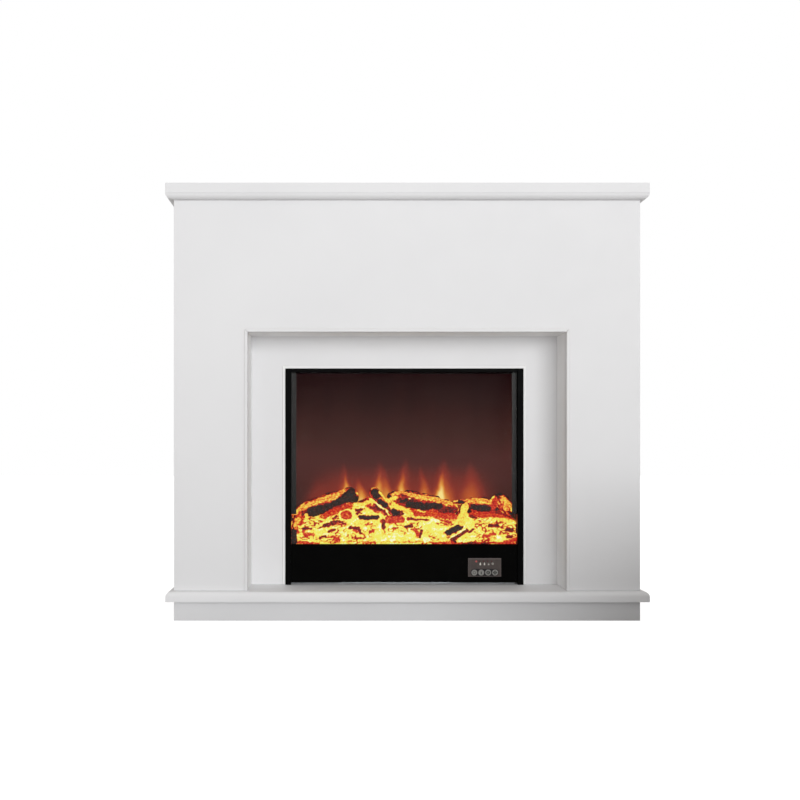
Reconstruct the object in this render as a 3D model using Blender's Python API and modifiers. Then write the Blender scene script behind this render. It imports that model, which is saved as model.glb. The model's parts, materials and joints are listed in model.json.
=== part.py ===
"""Electric fireplace: a painted board surround with an inset flame-effect fan heater.

Frame: +Z up, front faces -Y, origin on the floor under the middle of the outer box. Metres.
"""

import math

import bmesh
import bpy
from mathutils import Matrix, Vector

# ---------------------------------------------------------------- driving sizes
WIDTH = 1.220
DEPTH = 0.330
HEIGHT = 1.106
GAP = 0.0003            # between pieces that touch
REACH = 0.010           # a cutter runs past what it cuts by at least this

# surround
OVERHANG = 0.0185       # shelf and hearth beyond the body, front and sides
BOARD = 0.018
PLINTH_HEIGHT = 0.050
HEARTH_THICKNESS = 0.026
HEARTH_ROUNDING = 0.0125
SHELF_THICKNESS = 0.026
MOULDING_DROP = 0.0125
MOULDING_FLAT = 0.006   # flat underside between the curve and the body
ARRIS = 0.001           # softened board edge
RECESS_WIDTH = 0.809
RECESS_TOP = 0.7325
RECESS_DEPTH = 0.100
LIPPING_WIDTH = 0.0075
LIPPING_PROUD = 0.0035
RAIL_HEIGHT = 0.070
CLEAT = 0.028

# fire
FIRE_WIDTH = 0.628
FIRE_TOP = 0.647
POST_WIDTH = 0.015
POST_PROUD = 0.008
TOP_BAR_HEIGHT = 0.009
BEAD_WIDTH = 0.007
BEAD_PROUD = 0.0045
SHEET = 0.0012
CASE_WIDTH = 0.618
CASE_DEPTH = 0.186
OUTLET_SLOT = 0.0065    # under the fascia
FASCIA_TOP = 0.1815
FASCIA_SETBACK = 0.0045
FASCIA_RETURN = 0.020
GLASS_THICKNESS = 0.004
RETAINER_FACE = 0.013
RETAINER_LEG = 0.028
RETAINER_FOOT = 0.262   # the strips stop above the log bed's ends
CASE_BELOW_TOP = 0.004  # steel case below the frame's top edge
LOG_SETBACK = 0.0045    # logs behind the glass
LOG_DEPTH = 0.085
SCREEN_SETBACK = 0.005  # flame screen behind the logs
SCREEN_THICKNESS = 0.003

# control panel
PANEL_WIDTH = 0.0874
PANEL_HEIGHT = 0.0490
PANEL_X = 0.212
PANEL_Z = 0.122
PANEL_PLATE = 0.0017
BUTTON_RADIUS = 0.0081
BUTTON_PITCH = 0.0182
BUTTON_DROP = 0.0135    # button row below the panel's middle
BUTTON_FLANGE = 0.0004  # beyond the cap, behind the panel
SKIRT_INSET = 0.0012    # panel's skirt inside its plate's edge
SKIRT_WALL = 0.0010
BUTTON_TRAVEL = 0.0015
BUTTON_PROUD = 0.0012
LAMP_PITCH = 0.0109
LAMP_RISE = 0.0097
LAMP_OFFSET = 0.0049    # lamp row's middle, right of the panel's middle

# flame effect
SPINDLE_Y = 0.100
SPINDLE_Z = 0.245
SPINDLE_RADIUS = 0.003
FLAG_COUNT = 12
FLAG_RADIUS = 0.022

# fan heater
WHEEL_Y = 0.078
WHEEL_Z = 0.118
WHEEL_RADIUS = 0.030
WHEEL_LENGTH = 0.240
WHEEL_X = -0.020
WHEEL_BLADES = 12
SHAFT_RADIUS = 0.003
BORE_CLEARANCE = 0.0001

# ---------------------------------------------------------------- derived places
HALF = WIDTH / 2
FRONT = -DEPTH / 2
BACK = DEPTH / 2
BODY_HALF = HALF - OVERHANG
BODY_FRONT = FRONT + OVERHANG
HEARTH_TOP = PLINTH_HEIGHT + HEARTH_THICKNESS
SHELF_BOTTOM = HEIGHT - SHELF_THICKNESS
BODY_BASE = HEARTH_TOP + GAP
BODY_TOP = SHELF_BOTTOM - GAP
RECESS_HALF = RECESS_WIDTH / 2
INNER_FRONT = BODY_FRONT + RECESS_DEPTH
INSIDE_FRONT = BODY_FRONT + BOARD + GAP

FIRE_HALF = FIRE_WIDTH / 2
CASE_HALF = CASE_WIDTH / 2
WINDOW_HALF = FIRE_HALF - POST_WIDTH
WINDOW_TOP = FIRE_TOP - TOP_BAR_HEIGHT
POST_FRONT = INNER_FRONT - POST_PROUD
CASE_TOP = FIRE_TOP - CASE_BELOW_TOP
CASE_BACK = INNER_FRONT + CASE_DEPTH
CASE_INSIDE = CASE_HALF - SHEET - GAP
FASCIA_FRONT = POST_FRONT + FASCIA_SETBACK
FASCIA_BOTTOM = HEARTH_TOP + OUTLET_SLOT
FASCIA_BACK = FASCIA_FRONT + FASCIA_RETURN
GLASS_BACK = INNER_FRONT + GLASS_THICKNESS
LOG_BASE = FASCIA_TOP + GAP
LOG_FRONT = GLASS_BACK + LOG_SETBACK
LOG_BACK = LOG_FRONT + LOG_DEPTH
SCREEN_FRONT = LOG_BACK + SCREEN_SETBACK
INSIDE_TOP = CASE_TOP - 2 * SHEET

# ---------------------------------------------------------------- materials
# colour, roughness, metallic
FINISHES = {
    "white_paint": ((0.80, 0.80, 0.81), 0.38, 0.0),
    "raw_board": ((0.55, 0.42, 0.28), 0.80, 0.0),
    "black_frame": ((0.012, 0.012, 0.013), 0.35, 0.6),
    "black_steel": ((0.015, 0.015, 0.015), 0.55, 0.4),
    "zinc_steel": ((0.55, 0.56, 0.57), 0.40, 1.0),
    "glass": ((0.80, 0.82, 0.82), 0.03, 0.0),
    "grey_strip": ((0.08, 0.075, 0.07), 0.45, 0.7),
    "log_resin": ((0.80, 0.30, 0.06), 0.60, 0.0),
    "flame_screen": ((0.10, 0.05, 0.045), 0.50, 0.0),
    "reflector": ((0.85, 0.85, 0.86), 0.12, 1.0),
    "panel_plastic": ((0.075, 0.06, 0.055), 0.30, 0.0),
    "button_plastic": ((0.18, 0.18, 0.18), 0.45, 0.0),
    "lamp_plastic": ((0.85, 0.85, 0.80), 0.20, 0.0),
    "circuit_board": ((0.03, 0.16, 0.07), 0.50, 0.0),
    "motor_steel": ((0.35, 0.35, 0.36), 0.40, 0.9),
    "heater_ceramic": ((0.50, 0.47, 0.42), 0.70, 0.0),
    "nylon": ((0.03, 0.03, 0.03), 0.55, 0.0),
}


def finish(name):
    """Principled material for one finish, made once."""
    material = bpy.data.materials.get(name)
    if material:
        return material
    colour, roughness, metallic = FINISHES[name]
    material = bpy.data.materials.new(name)
    material.use_nodes = True
    shader = material.node_tree.nodes["Principled BSDF"]
    shader.inputs["Base Color"].default_value = (*colour, 1.0)
    shader.inputs["Roughness"].default_value = roughness
    shader.inputs["Metallic"].default_value = metallic
    return material


# ---------------------------------------------------------------- scene set-up
def clear_scene():
    """Remove what the file opened with and make the two collections."""
    for leftover in list(bpy.data.objects):
        bpy.data.objects.remove(leftover, do_unlink=True)
    for name in ("electric_fireplace", "cutters"):
        bpy.context.scene.collection.children.link(bpy.data.collections.new(name))


def place(piece, collection, finish_name=None):
    """Move a new object to one collection and give it its material."""
    for holder in list(piece.users_collection):
        holder.objects.unlink(piece)
    bpy.data.collections[collection].objects.link(piece)
    if finish_name:
        piece.data.materials.clear()
        piece.data.materials.append(finish(finish_name))
    return piece


# ---------------------------------------------------------------- basic shapes
MERGE = 1e-6            # welds the caps of a drawn outline to its sides
FLAT = 0.001            # radians between faces that count as one


def box(name, x, y, z, finish_name=None):
    """Box between two values on each axis."""
    middle = [(low + high) / 2 for low, high in (x, y, z)]
    size = [high - low for low, high in (x, y, z)]
    bpy.ops.mesh.primitive_cube_add(size=1, location=middle)
    piece = bpy.context.active_object
    piece.name = name
    piece.data.transform(Matrix.Diagonal((*size, 1.0)))
    return place(piece, "electric_fireplace", finish_name)


AXIS_TURN = {
    "X": (0, math.pi / 2, 0),
    "Y": (-math.pi / 2, 0, 0),
    "Z": (0, 0, 0),
}


def rod(name, axis, start, length, radius, sides=24, finish_name=None):
    """Cylinder from a start point along +axis."""
    turn = Matrix.Rotation(AXIS_TURN[axis][1], 4, "Y") @ Matrix.Rotation(AXIS_TURN[axis][0], 4, "X")
    middle = Vector(start) + turn @ Vector((0, 0, length / 2))
    bpy.ops.mesh.primitive_cylinder_add(vertices=sides, radius=radius, depth=length, location=middle)
    piece = bpy.context.active_object
    piece.name = name
    piece.data.transform(turn)
    smooth(piece)
    return place(piece, "electric_fireplace", finish_name)


def smooth(piece, angle=40):
    """Shade the round faces smooth and keep the hard edges."""
    piece.data.shade_smooth()
    piece.data.set_sharp_from_angle(angle=math.radians(angle))


PLANE_TURN = {
    "XZ": Matrix.Rotation(math.pi / 2, 4, "X"),
    "YZ": Matrix.Rotation(math.pi / 2, 4, "Z") @ Matrix.Rotation(math.pi / 2, 4, "X"),
    "XY": Matrix.Identity(4),
}
PLANE_NORMAL = {"XZ": Vector((0, 1, 0)), "YZ": Vector((1, 0, 0)), "XY": Vector((0, 0, 1))}


def slab(name, plane, outlines, low, high, finish_name=None):
    """Flat outline, or several, in one plane, as thick as low to high along its normal."""
    curve = bpy.data.curves.new(name + "_outline", "CURVE")
    curve.dimensions = "2D"
    curve.fill_mode = "BOTH"
    curve.extrude = (high - low) / 2
    for outline in outlines:
        spline = curve.splines.new("POLY")
        spline.points.add(len(outline) - 1)
        for point, (across, up) in zip(spline.points, outline):
            point.co = (across, up, 0, 1)
        spline.use_cyclic_u = True
    drawn = bpy.data.objects.new(name + "_outline", curve)
    bpy.context.scene.collection.objects.link(drawn)
    drawn.matrix_world = Matrix.Translation(PLANE_NORMAL[plane] * (low + high) / 2) @ PLANE_TURN[plane]
    bpy.context.view_layer.update()
    evaluated = drawn.evaluated_get(bpy.context.evaluated_depsgraph_get())
    mesh = bpy.data.meshes.new_from_object(evaluated)
    mesh.transform(drawn.matrix_world)
    bpy.data.objects.remove(drawn, do_unlink=True)
    weld = bmesh.new()
    weld.from_mesh(mesh)
    bmesh.ops.remove_doubles(weld, verts=weld.verts, dist=MERGE)
    bmesh.ops.dissolve_limit(weld, angle_limit=FLAT, verts=weld.verts, edges=weld.edges)
    bmesh.ops.recalc_face_normals(weld, faces=weld.faces)
    weld.to_mesh(mesh)
    weld.free()
    piece = bpy.data.objects.new(name, mesh)
    bpy.context.scene.collection.objects.link(piece)
    return place(piece, "electric_fireplace", finish_name)


def arc(centre, radius, start, end, steps):
    """Points on an arc, angles in degrees."""
    points = []
    for step in range(steps + 1):
        angle = math.radians(start + (end - start) * step / steps)
        points.append((centre[0] + radius * math.cos(angle), centre[1] + radius * math.sin(angle)))
    return points


def soften(piece, width=ARRIS, segments=1):
    """Bevel every hard edge."""
    bevel = piece.modifiers.new("soften", "BEVEL")
    bevel.width = width
    bevel.segments = segments
    bevel.limit_method = "ANGLE"
    bevel.angle_limit = math.radians(50)
    return piece


def combine(piece, other, operation):
    """Boolean with another object, which becomes a hidden cutter."""
    place(other, "cutters")
    other.hide_render = True
    other.display_type = "WIRE"
    modifier = piece.modifiers.new(other.name, "BOOLEAN")
    modifier.operation = operation
    modifier.object = other
    modifier.solver = "EXACT"
    return piece


def cut(piece, cutter):
    return combine(piece, cutter, "DIFFERENCE")


def add(piece, extra):
    return combine(piece, extra, "UNION")


def joined(name, pieces):
    """Several separate solids as one object, for use as one cutter."""
    mesh = bmesh.new()
    for piece in pieces:
        start = len(mesh.verts)
        mesh.from_mesh(piece.data)
        mesh.verts.ensure_lookup_table()
        moved = mesh.verts[start:]
        bmesh.ops.transform(mesh, matrix=piece.matrix_world, verts=moved)
    result = bpy.data.meshes.new(name)
    mesh.to_mesh(result)
    mesh.free()
    for piece in pieces:
        bpy.data.objects.remove(piece, do_unlink=True)
    group = bpy.data.objects.new(name, result)
    bpy.context.scene.collection.objects.link(group)
    return place(group, "electric_fireplace")


def boxes(name, spans):
    """One object of several separate boxes, each a list of x, y and z limits."""
    made = [box(f"{name}_{index}", *span) for index, span in enumerate(spans)]
    bpy.context.view_layer.update()
    return joined(name, made)


# ---------------------------------------------------------------- surround
def mantel_shelf():
    shelf = box("mantel_shelf", (-HALF, HALF), (FRONT, BACK), (SHELF_BOTTOM, HEIGHT), "white_paint")
    soften(shelf)


def moulding_profile():
    """Ovolo as (distance out from the body, height): flat top, round nose, flat underside."""
    top = BODY_TOP
    out = OVERHANG
    bottom = top - MOULDING_DROP
    nose_run = out - MOULDING_FLAT
    nose = []
    for distance, height in arc((0, 0), 1, 0, -90, 6):
        nose.append((MOULDING_FLAT + nose_run * distance, top + MOULDING_DROP * height))
    return [(GAP, top)] + nose + [(GAP, bottom)]


def shelf_mouldings():
    """Front strip mitred at both ends, and side strips mitred at the front."""
    outline = moulding_profile()
    edge = [(BODY_FRONT - out, z) for out, z in outline]
    front = slab("shelf_moulding_front", "YZ", [edge], -HALF, HALF, "white_paint")
    for vertex in front.data.vertices:
        out = BODY_FRONT - vertex.co.y
        vertex.co.x = math.copysign(BODY_HALF + out, vertex.co.x)
    smooth(front)
    for side, sign in (("left", -1), ("right", 1)):
        edge = [(sign * (BODY_HALF + out), z) for out, z in outline]
        strip = slab(f"shelf_moulding_{side}", "XZ", [edge], FRONT, BACK, "white_paint")
        for vertex in strip.data.vertices:
            out = abs(vertex.co.x) - BODY_HALF
            vertex.co.y = BACK if vertex.co.y > 0 else BODY_FRONT - out + 2 * GAP
        smooth(strip)


def portal(name, outside, opening, front, thickness):
    """White board with an opening cut up from its lower edge; both are (half width, top)."""
    half, top = outside
    opening_half, opening_top = opening
    outline = [
        (-half, BODY_BASE), (-opening_half, BODY_BASE), (-opening_half, opening_top),
        (opening_half, opening_top), (opening_half, BODY_BASE), (half, BODY_BASE),
        (half, top), (-half, top),
    ]
    return slab(name, "XZ", [outline], front, front + thickness, "white_paint")


def front_panel():
    outside = (BODY_HALF, BODY_TOP)
    board = portal("front_panel", outside, (RECESS_HALF, RECESS_TOP), BODY_FRONT, BOARD)
    soften(board, ARRIS / 2)


def side_panels():
    for side, sign in (("left", -1), ("right", 1)):
        faces = sorted((sign * (BODY_HALF - BOARD), sign * BODY_HALF))
        board = box(f"{side}_side_panel", faces, (INSIDE_FRONT, BACK), (BODY_BASE, BODY_TOP), "white_paint")
        soften(board, ARRIS / 2)


def opening_trims():
    """Three proud lipping strips round the portal opening, mitred at the top corners."""
    low = BODY_FRONT - LIPPING_PROUD
    high = BODY_FRONT - GAP
    outer = RECESS_HALF + LIPPING_WIDTH
    crown = RECESS_TOP + LIPPING_WIDTH
    for side, sign in (("left", -1), ("right", 1)):
        outline = [
            (sign * RECESS_HALF, BODY_BASE), (sign * outer, BODY_BASE),
            (sign * outer, crown), (sign * RECESS_HALF, RECESS_TOP),
        ]
        soften(slab(f"opening_trim_{side}", "XZ", [outline], low, high, "white_paint"), ARRIS)
    slack = 2 * GAP
    outline = [
        (-RECESS_HALF + slack, RECESS_TOP), (RECESS_HALF - slack, RECESS_TOP),
        (outer - slack, crown), (-outer + slack, crown),
    ]
    soften(slab("opening_trim_top", "XZ", [outline], low, high, "white_paint"), ARRIS)


def recess_returns():
    """Boards that line the recess between the front panel and the inner panel."""
    run = (INSIDE_FRONT, INNER_FRONT - GAP)
    for side, sign in (("left", -1), ("right", 1)):
        faces = sorted((sign * RECESS_HALF, sign * (RECESS_HALF + BOARD)))
        box(f"recess_return_{side}", faces, run, (BODY_BASE, RECESS_TOP - GAP), "white_paint")
    span = RECESS_HALF + BOARD
    box("recess_return_top", (-span, span), run, (RECESS_TOP, RECESS_TOP + BOARD), "white_paint")


def inner_panel():
    outside = (RECESS_HALF + BOARD, RECESS_TOP + BOARD)
    opening = (CASE_HALF + 2 * GAP, CASE_TOP + 2 * GAP)
    portal("inner_panel", outside, opening, INNER_FRONT, BOARD)


def insert_trim():
    """White bead that frames the fire."""
    inner = FIRE_HALF + GAP
    crown = FIRE_TOP + GAP
    outside = (inner + BEAD_WIDTH, crown + BEAD_WIDTH)
    front = INNER_FRONT - BEAD_PROUD
    soften(portal("insert_trim", outside, (inner, crown), front, BEAD_PROUD - GAP))


def hearth_slab():
    """Slab whose top front and side edges are rounded."""
    height = (PLINTH_HEIGHT, HEARTH_TOP)
    hearth = box("hearth_slab", (-HALF, HALF), (FRONT, BACK), height, "white_paint")
    mesh = hearth.data
    weights = mesh.attributes.new("bevel_weight_edge", "FLOAT", "EDGE")
    for edge in mesh.edges:
        ends = [mesh.vertices[index].co for index in edge.vertices]
        on_top = all(end.z > 0 for end in ends)
        at_back = all(end.y > 0 for end in ends)
        weights.data[edge.index].value = 1.0 if on_top and not at_back else 0.0
    bevel = hearth.modifiers.new("rounding", "BEVEL")
    bevel.limit_method = "WEIGHT"
    bevel.width = HEARTH_ROUNDING
    bevel.segments = 5
    smooth(hearth, 30)


def plinth():
    """Four boards under the hearth: the front and back ones run the full width."""
    z = (0, PLINTH_HEIGHT - GAP)
    across = (-BODY_HALF, BODY_HALF)
    front = box("plinth_front", across, (BODY_FRONT, BODY_FRONT + BOARD), z, "white_paint")
    soften(front, ARRIS / 2)
    box("plinth_back", across, (BACK - BOARD, BACK), z, "white_paint")
    run = (INSIDE_FRONT, BACK - BOARD - GAP)
    box("plinth_left", (-BODY_HALF, -BODY_HALF + BOARD), run, z, "white_paint")
    box("plinth_right", (BODY_HALF - BOARD, BODY_HALF), run, z, "white_paint")


def rear_rails():
    inside = BODY_HALF - BOARD - GAP
    back = (BACK - BOARD, BACK)
    box("rear_rail_top", (-inside, inside), back, (BODY_TOP - RAIL_HEIGHT, BODY_TOP), "raw_board")
    box("rear_rail_bottom", (-inside, inside), back, (BODY_BASE, BODY_BASE + CLEAT), "raw_board")


def shelf_cleats():
    inside = BODY_HALF - BOARD - GAP
    run = (INSIDE_FRONT + GAP, BACK - BOARD - GAP)
    for side, sign in (("left", -1), ("right", 1)):
        faces = sorted((sign * (inside - CLEAT), sign * inside))
        box(f"shelf_cleat_{side}", faces, run, (BODY_TOP - CLEAT, BODY_TOP), "raw_board")


# ---------------------------------------------------------------- fire: frame, glass and case
def fire_frame():
    depth = (POST_FRONT, INNER_FRONT - GAP)
    for side, sign in (("left", -1), ("right", 1)):
        faces = sorted((sign * WINDOW_HALF, sign * FIRE_HALF))
        post = box(f"frame_{side}_post", faces, depth, (BODY_BASE, FIRE_TOP), "black_frame")
        soften(post, ARRIS / 2)
    across = (-WINDOW_HALF + GAP, WINDOW_HALF - GAP)
    bar = box("frame_top_bar", across, depth, (WINDOW_TOP, FIRE_TOP), "black_frame")
    soften(bar, ARRIS / 2)


def glass_pane():
    half = CASE_INSIDE - GAP
    box("glass_pane", (-half, half), (INNER_FRONT, GLASS_BACK), (LOG_BASE, INSIDE_TOP), "glass")


def glass_retainers():
    """L section strips above the log bed: a face behind the glass edge, a leg on the case side."""
    outside = CASE_INSIDE - GAP
    inside = WINDOW_HALF - RETAINER_FACE
    front = GLASS_BACK + GAP
    leg_end = front + RETAINER_LEG
    for side, sign in (("left", -1), ("right", 1)):
        section = [
            (sign * outside, front), (sign * inside, front), (sign * inside, front + SHEET),
            (sign * (outside - SHEET), front + SHEET), (sign * (outside - SHEET), leg_end),
            (sign * outside, leg_end),
        ]
        slab(f"glass_retainer_{side}", "XY", [section], RETAINER_FOOT, INSIDE_TOP, "grey_strip")


def lower_fascia():
    """Folded steel front with top and bottom returns and a window for the control panel."""
    half = WINDOW_HALF - GAP
    section = [
        (FASCIA_FRONT, FASCIA_BOTTOM), (FASCIA_BACK, FASCIA_BOTTOM), (FASCIA_BACK, FASCIA_BOTTOM + SHEET),
        (FASCIA_FRONT + SHEET, FASCIA_BOTTOM + SHEET), (FASCIA_FRONT + SHEET, FASCIA_TOP - SHEET),
        (FASCIA_BACK, FASCIA_TOP - SHEET), (FASCIA_BACK, FASCIA_TOP), (FASCIA_FRONT, FASCIA_TOP),
    ]
    fascia = slab("lower_fascia", "YZ", [section], -half, half, "black_steel")
    window_w = PANEL_WIDTH / 2 - SKIRT_INSET + GAP
    window_h = PANEL_HEIGHT / 2 - SKIRT_INSET + GAP
    window = box(
        "fascia_window",
        (PANEL_X - window_w, PANEL_X + window_w), (FASCIA_FRONT - REACH, FASCIA_FRONT + REACH),
        (PANEL_Z - window_h, PANEL_Z + window_h),
    )
    cut(fascia, window)


def steel_case():
    """Base, top and two sides; the rear cover closes it."""
    back = CASE_BACK - SHEET - GAP
    base_top = BODY_BASE + SHEET
    across = (-CASE_HALF, CASE_HALF)
    box("case_base", across, (FASCIA_BACK + GAP, back), (BODY_BASE, base_top), "zinc_steel")
    box("case_top", across, (INNER_FRONT, back), (CASE_TOP - SHEET, CASE_TOP), "zinc_steel")
    walls = (base_top + GAP, CASE_TOP - SHEET - GAP)
    for side, sign in (("left", -1), ("right", 1)):
        faces = sorted((sign * (CASE_HALF - SHEET), sign * CASE_HALF))
        box(f"case_{side}_side", faces, (INNER_FRONT, back), walls, "zinc_steel")


GLAND_X = 0.255
GLAND_Z = 0.152
GLAND_BORE = 0.0045
GLAND_BARREL = 0.009
GLAND_FLANGE = 0.012
VENT_WIDTH = 0.045
VENT_HEIGHT = 0.005
VENT_PITCH = 0.060      # across
VENT_ROW = 0.012        # up
VENT_COLUMNS = 5
INTAKE_ROWS = 3
OUTLET_ROWS = 2
OUTLET_DROP = 0.043     # first outlet row below the case top


def vent_spans():
    """Slots behind the blower wheel and near the top of the case."""
    rows = [WHEEL_Z + VENT_ROW * row for row in range(INTAKE_ROWS)]
    rows += [CASE_TOP - OUTLET_DROP + VENT_ROW * row for row in range(OUTLET_ROWS)]
    first = WHEEL_X - VENT_PITCH * VENT_COLUMNS / 2 + VENT_HEIGHT
    depth = (CASE_BACK - REACH, CASE_BACK + REACH)
    spans = []
    for low in rows:
        for column in range(VENT_COLUMNS):
            left = first + column * VENT_PITCH
            spans.append(((left, left + VENT_WIDTH), depth, (low, low + VENT_HEIGHT)))
    return spans


def rear_cover():
    """Sheet with intake vents behind the blower, outlet vents at the top and a cable hole."""
    depth = (CASE_BACK - SHEET, CASE_BACK)
    cover = box("rear_cover", (-CASE_HALF, CASE_HALF), depth, (BODY_BASE, CASE_TOP), "zinc_steel")
    cut(cover, boxes("rear_vents", vent_spans()))
    start = (GLAND_X, CASE_BACK - REACH, GLAND_Z)
    cut(cover, rod("gland_hole", "Y", start, 2 * REACH, GLAND_BORE + 0.0005))


def cable_gland():
    """Flanged collar that the mains cord would pass through."""
    foot = CASE_BACK + GAP
    collar = rod("cable_gland", "Y", (GLAND_X, foot, GLAND_Z), 0.003, GLAND_FLANGE, 16, "nylon")
    add(collar, rod("gland_barrel", "Y", (GLAND_X, foot + 0.001, GLAND_Z), 0.014, GLAND_BARREL, 16))
    cut(collar, rod("gland_bore", "Y", (GLAND_X, foot - REACH, GLAND_Z), 0.04, GLAND_BORE, 16))


# ---------------------------------------------------------------- fire: logs and flame effect
EMBER_LAMP_Y = 0.004
EMBER_SLOT_HALF = 0.260
EMBER_SLOT_WIDTH = 0.016


def log_shelf():
    """Sheet that carries the logs, with a light slot for the ember lamps."""
    depth = (FASCIA_BACK + GAP, CASE_BACK - SHEET - GAP)
    height = (FASCIA_TOP - SHEET, FASCIA_TOP)
    shelf = box("log_shelf", (-CASE_INSIDE, CASE_INSIDE), depth, height, "zinc_steel")
    slot = box(
        "ember_slot", (-EMBER_SLOT_HALF, EMBER_SLOT_HALF),
        (EMBER_LAMP_Y - EMBER_SLOT_WIDTH / 2, EMBER_LAMP_Y + EMBER_SLOT_WIDTH / 2),
        (FASCIA_TOP - REACH, FASCIA_TOP + REACH),
    )
    cut(shelf, slot)


# start, end, start radius and end radius of each moulded log
LOGS = {
    "left": ((-0.278, 0.010, 0.240), (-0.118, 0.016, 0.300), 0.020, 0.026),
    "cross": ((-0.080, 0.026, 0.306), (-0.004, -0.008, 0.236), 0.015, 0.022),
    "long": ((-0.024, 0.018, 0.296), (0.148, 0.014, 0.252), 0.017, 0.024),
    "right": ((0.130, 0.012, 0.262), (0.250, 0.016, 0.262), 0.021, 0.021),
    "stump": ((0.262, 0.012, 0.250), (0.236, 0.016, 0.305), 0.024, 0.016),
}
LOG_END = 0.004         # clear of the case side
BED_FRONT_HEIGHT = 0.024
BED_SLOPE = (0.025, 0.052)      # back from the front edge, up from the shelf
BED_CREST = (0.020, 0.072)      # forward from the back edge, up from the shelf
BED_BACK_HEIGHT = 0.060


def log_set():
    """One moulded bed of embers with logs on it."""
    bed = [
        (LOG_FRONT, LOG_BASE), (LOG_BACK, LOG_BASE), (LOG_BACK, LOG_BASE + BED_BACK_HEIGHT),
        (LOG_BACK - BED_CREST[0], LOG_BASE + BED_CREST[1]),
        (LOG_FRONT + BED_SLOPE[0], LOG_BASE + BED_SLOPE[1]),
        (LOG_FRONT, LOG_BASE + BED_FRONT_HEIGHT),
    ]
    half = CASE_INSIDE - LOG_END
    piece = slab("log_set", "YZ", [bed], -half, half, "log_resin")
    for name, (start, end, start_radius, end_radius) in LOGS.items():
        run = Vector(end) - Vector(start)
        middle = (Vector(start) + Vector(end)) / 2
        bpy.ops.mesh.primitive_cone_add(
            vertices=10, radius1=start_radius, radius2=end_radius, depth=run.length, location=middle
        )
        log = bpy.context.active_object
        log.name = f"log_{name}"
        log.data.transform(run.to_track_quat("Z", "Y").to_matrix().to_4x4())
        add(piece, log)


def flame_screen():
    half = CASE_INSIDE - GAP
    depth = (SCREEN_FRONT, SCREEN_FRONT + SCREEN_THICKNESS)
    box("flame_screen", (-half, half), depth, (LOG_BASE, INSIDE_TOP), "flame_screen")


BAFFLE_Y = SCREEN_FRONT + 0.012
BAFFLE_HEIGHT = 0.140
BAFFLE_END = 0.012      # clear of the case side
TONGUE_COUNT = 9
TONGUE_PITCH = 0.058
TONGUE_WIDTH = 0.026
TONGUE_RISE = 0.020     # foot above the shelf
TALL_TONGUE = 0.100
SHORT_TONGUE = 0.078


def flame_outline(middle, base, height, width, lean):
    """Tongue shape: round at the foot, drawn out to a point that leans to one side."""
    points = []
    for x, z in arc((0, 0), 1, 200, 340, 5):
        points.append((middle + width / 2 * x, base + width / 2 * (1 + z)))
    waist = width * 0.22
    points.append((middle + lean + waist, base + height * 0.55))
    points.append((middle + lean, base + height))
    points.append((middle + lean - waist, base + height * 0.55))
    return points


def flame_baffle():
    """Sheet with flame shaped slots that the turning reflectors throw light through."""
    half = CASE_INSIDE - BAFFLE_END
    height = (LOG_BASE, LOG_BASE + BAFFLE_HEIGHT)
    sheet = box("flame_baffle", (-half, half), (BAFFLE_Y, BAFFLE_Y + SHEET), height, "zinc_steel")
    tongues = []
    for index in range(TONGUE_COUNT):
        middle = TONGUE_PITCH * (index - (TONGUE_COUNT - 1) / 2)
        lean = 0.006 if index % 2 else -0.004
        tall = TALL_TONGUE if index % 3 == 1 else SHORT_TONGUE
        tongues.append(flame_outline(middle, LOG_BASE + TONGUE_RISE, tall, TONGUE_WIDTH, lean))
    cut(sheet, slab("flame_slots", "XZ", tongues, BAFFLE_Y - REACH, BAFFLE_Y + REACH))


FLAG_SPAN = 0.540
FLAG_FILL = 0.72        # of the pitch
FLAG_SHEET = 0.001
FLAG_STEP = math.radians(75)
SPINDLE_END = 0.010     # clear of the case side


def flame_spindle():
    """Rod with mirror flags at stepped angles; it turns about its own axis."""
    reach = CASE_INSIDE - SPINDLE_END
    start = (-reach, SPINDLE_Y, SPINDLE_Z)
    spindle = rod("flame_spindle", "X", start, 2 * reach, SPINDLE_RADIUS, 16, "reflector")
    pitch = FLAG_SPAN / FLAG_COUNT
    flag_half = pitch * FLAG_FILL / 2
    flags = []
    for index in range(FLAG_COUNT):
        middle = (index - (FLAG_COUNT - 1) / 2) * pitch - 0.010
        flag = box(
            f"flag_{index}", (middle - flag_half, middle + flag_half),
            (SPINDLE_Y - FLAG_RADIUS, SPINDLE_Y + FLAG_RADIUS),
            (SPINDLE_Z - FLAG_SHEET / 2, SPINDLE_Z + FLAG_SHEET / 2),
        )
        flag.data.transform(Matrix.Rotation(FLAG_STEP * index, 4, "X"))
        flags.append(flag)
    bpy.context.view_layer.update()
    add(spindle, joined("spindle_flags", flags))


MOTOR_THICKNESS = 0.021
MOTOR_RADIUS = 0.025
MOTOR_SKIN = 0.008      # left behind the bore's end
BUSH_LENGTH = 0.020
BUSH_RADIUS = 0.008


def spindle_motor():
    """Flat synchronous motor; the spindle's end sits in its bore."""
    face = CASE_INSIDE - MOTOR_THICKNESS - GAP
    start = (face, SPINDLE_Y, SPINDLE_Z)
    motor = rod("spindle_motor", "X", start, MOTOR_THICKNESS, MOTOR_RADIUS, 32, "motor_steel")
    depth = MOTOR_THICKNESS - MOTOR_SKIN
    bore_start = (face - REACH, SPINDLE_Y, SPINDLE_Z)
    bore_radius = SPINDLE_RADIUS + BORE_CLEARANCE
    cut(motor, rod("spindle_motor_bore", "X", bore_start, REACH + depth, bore_radius, 32))


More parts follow.
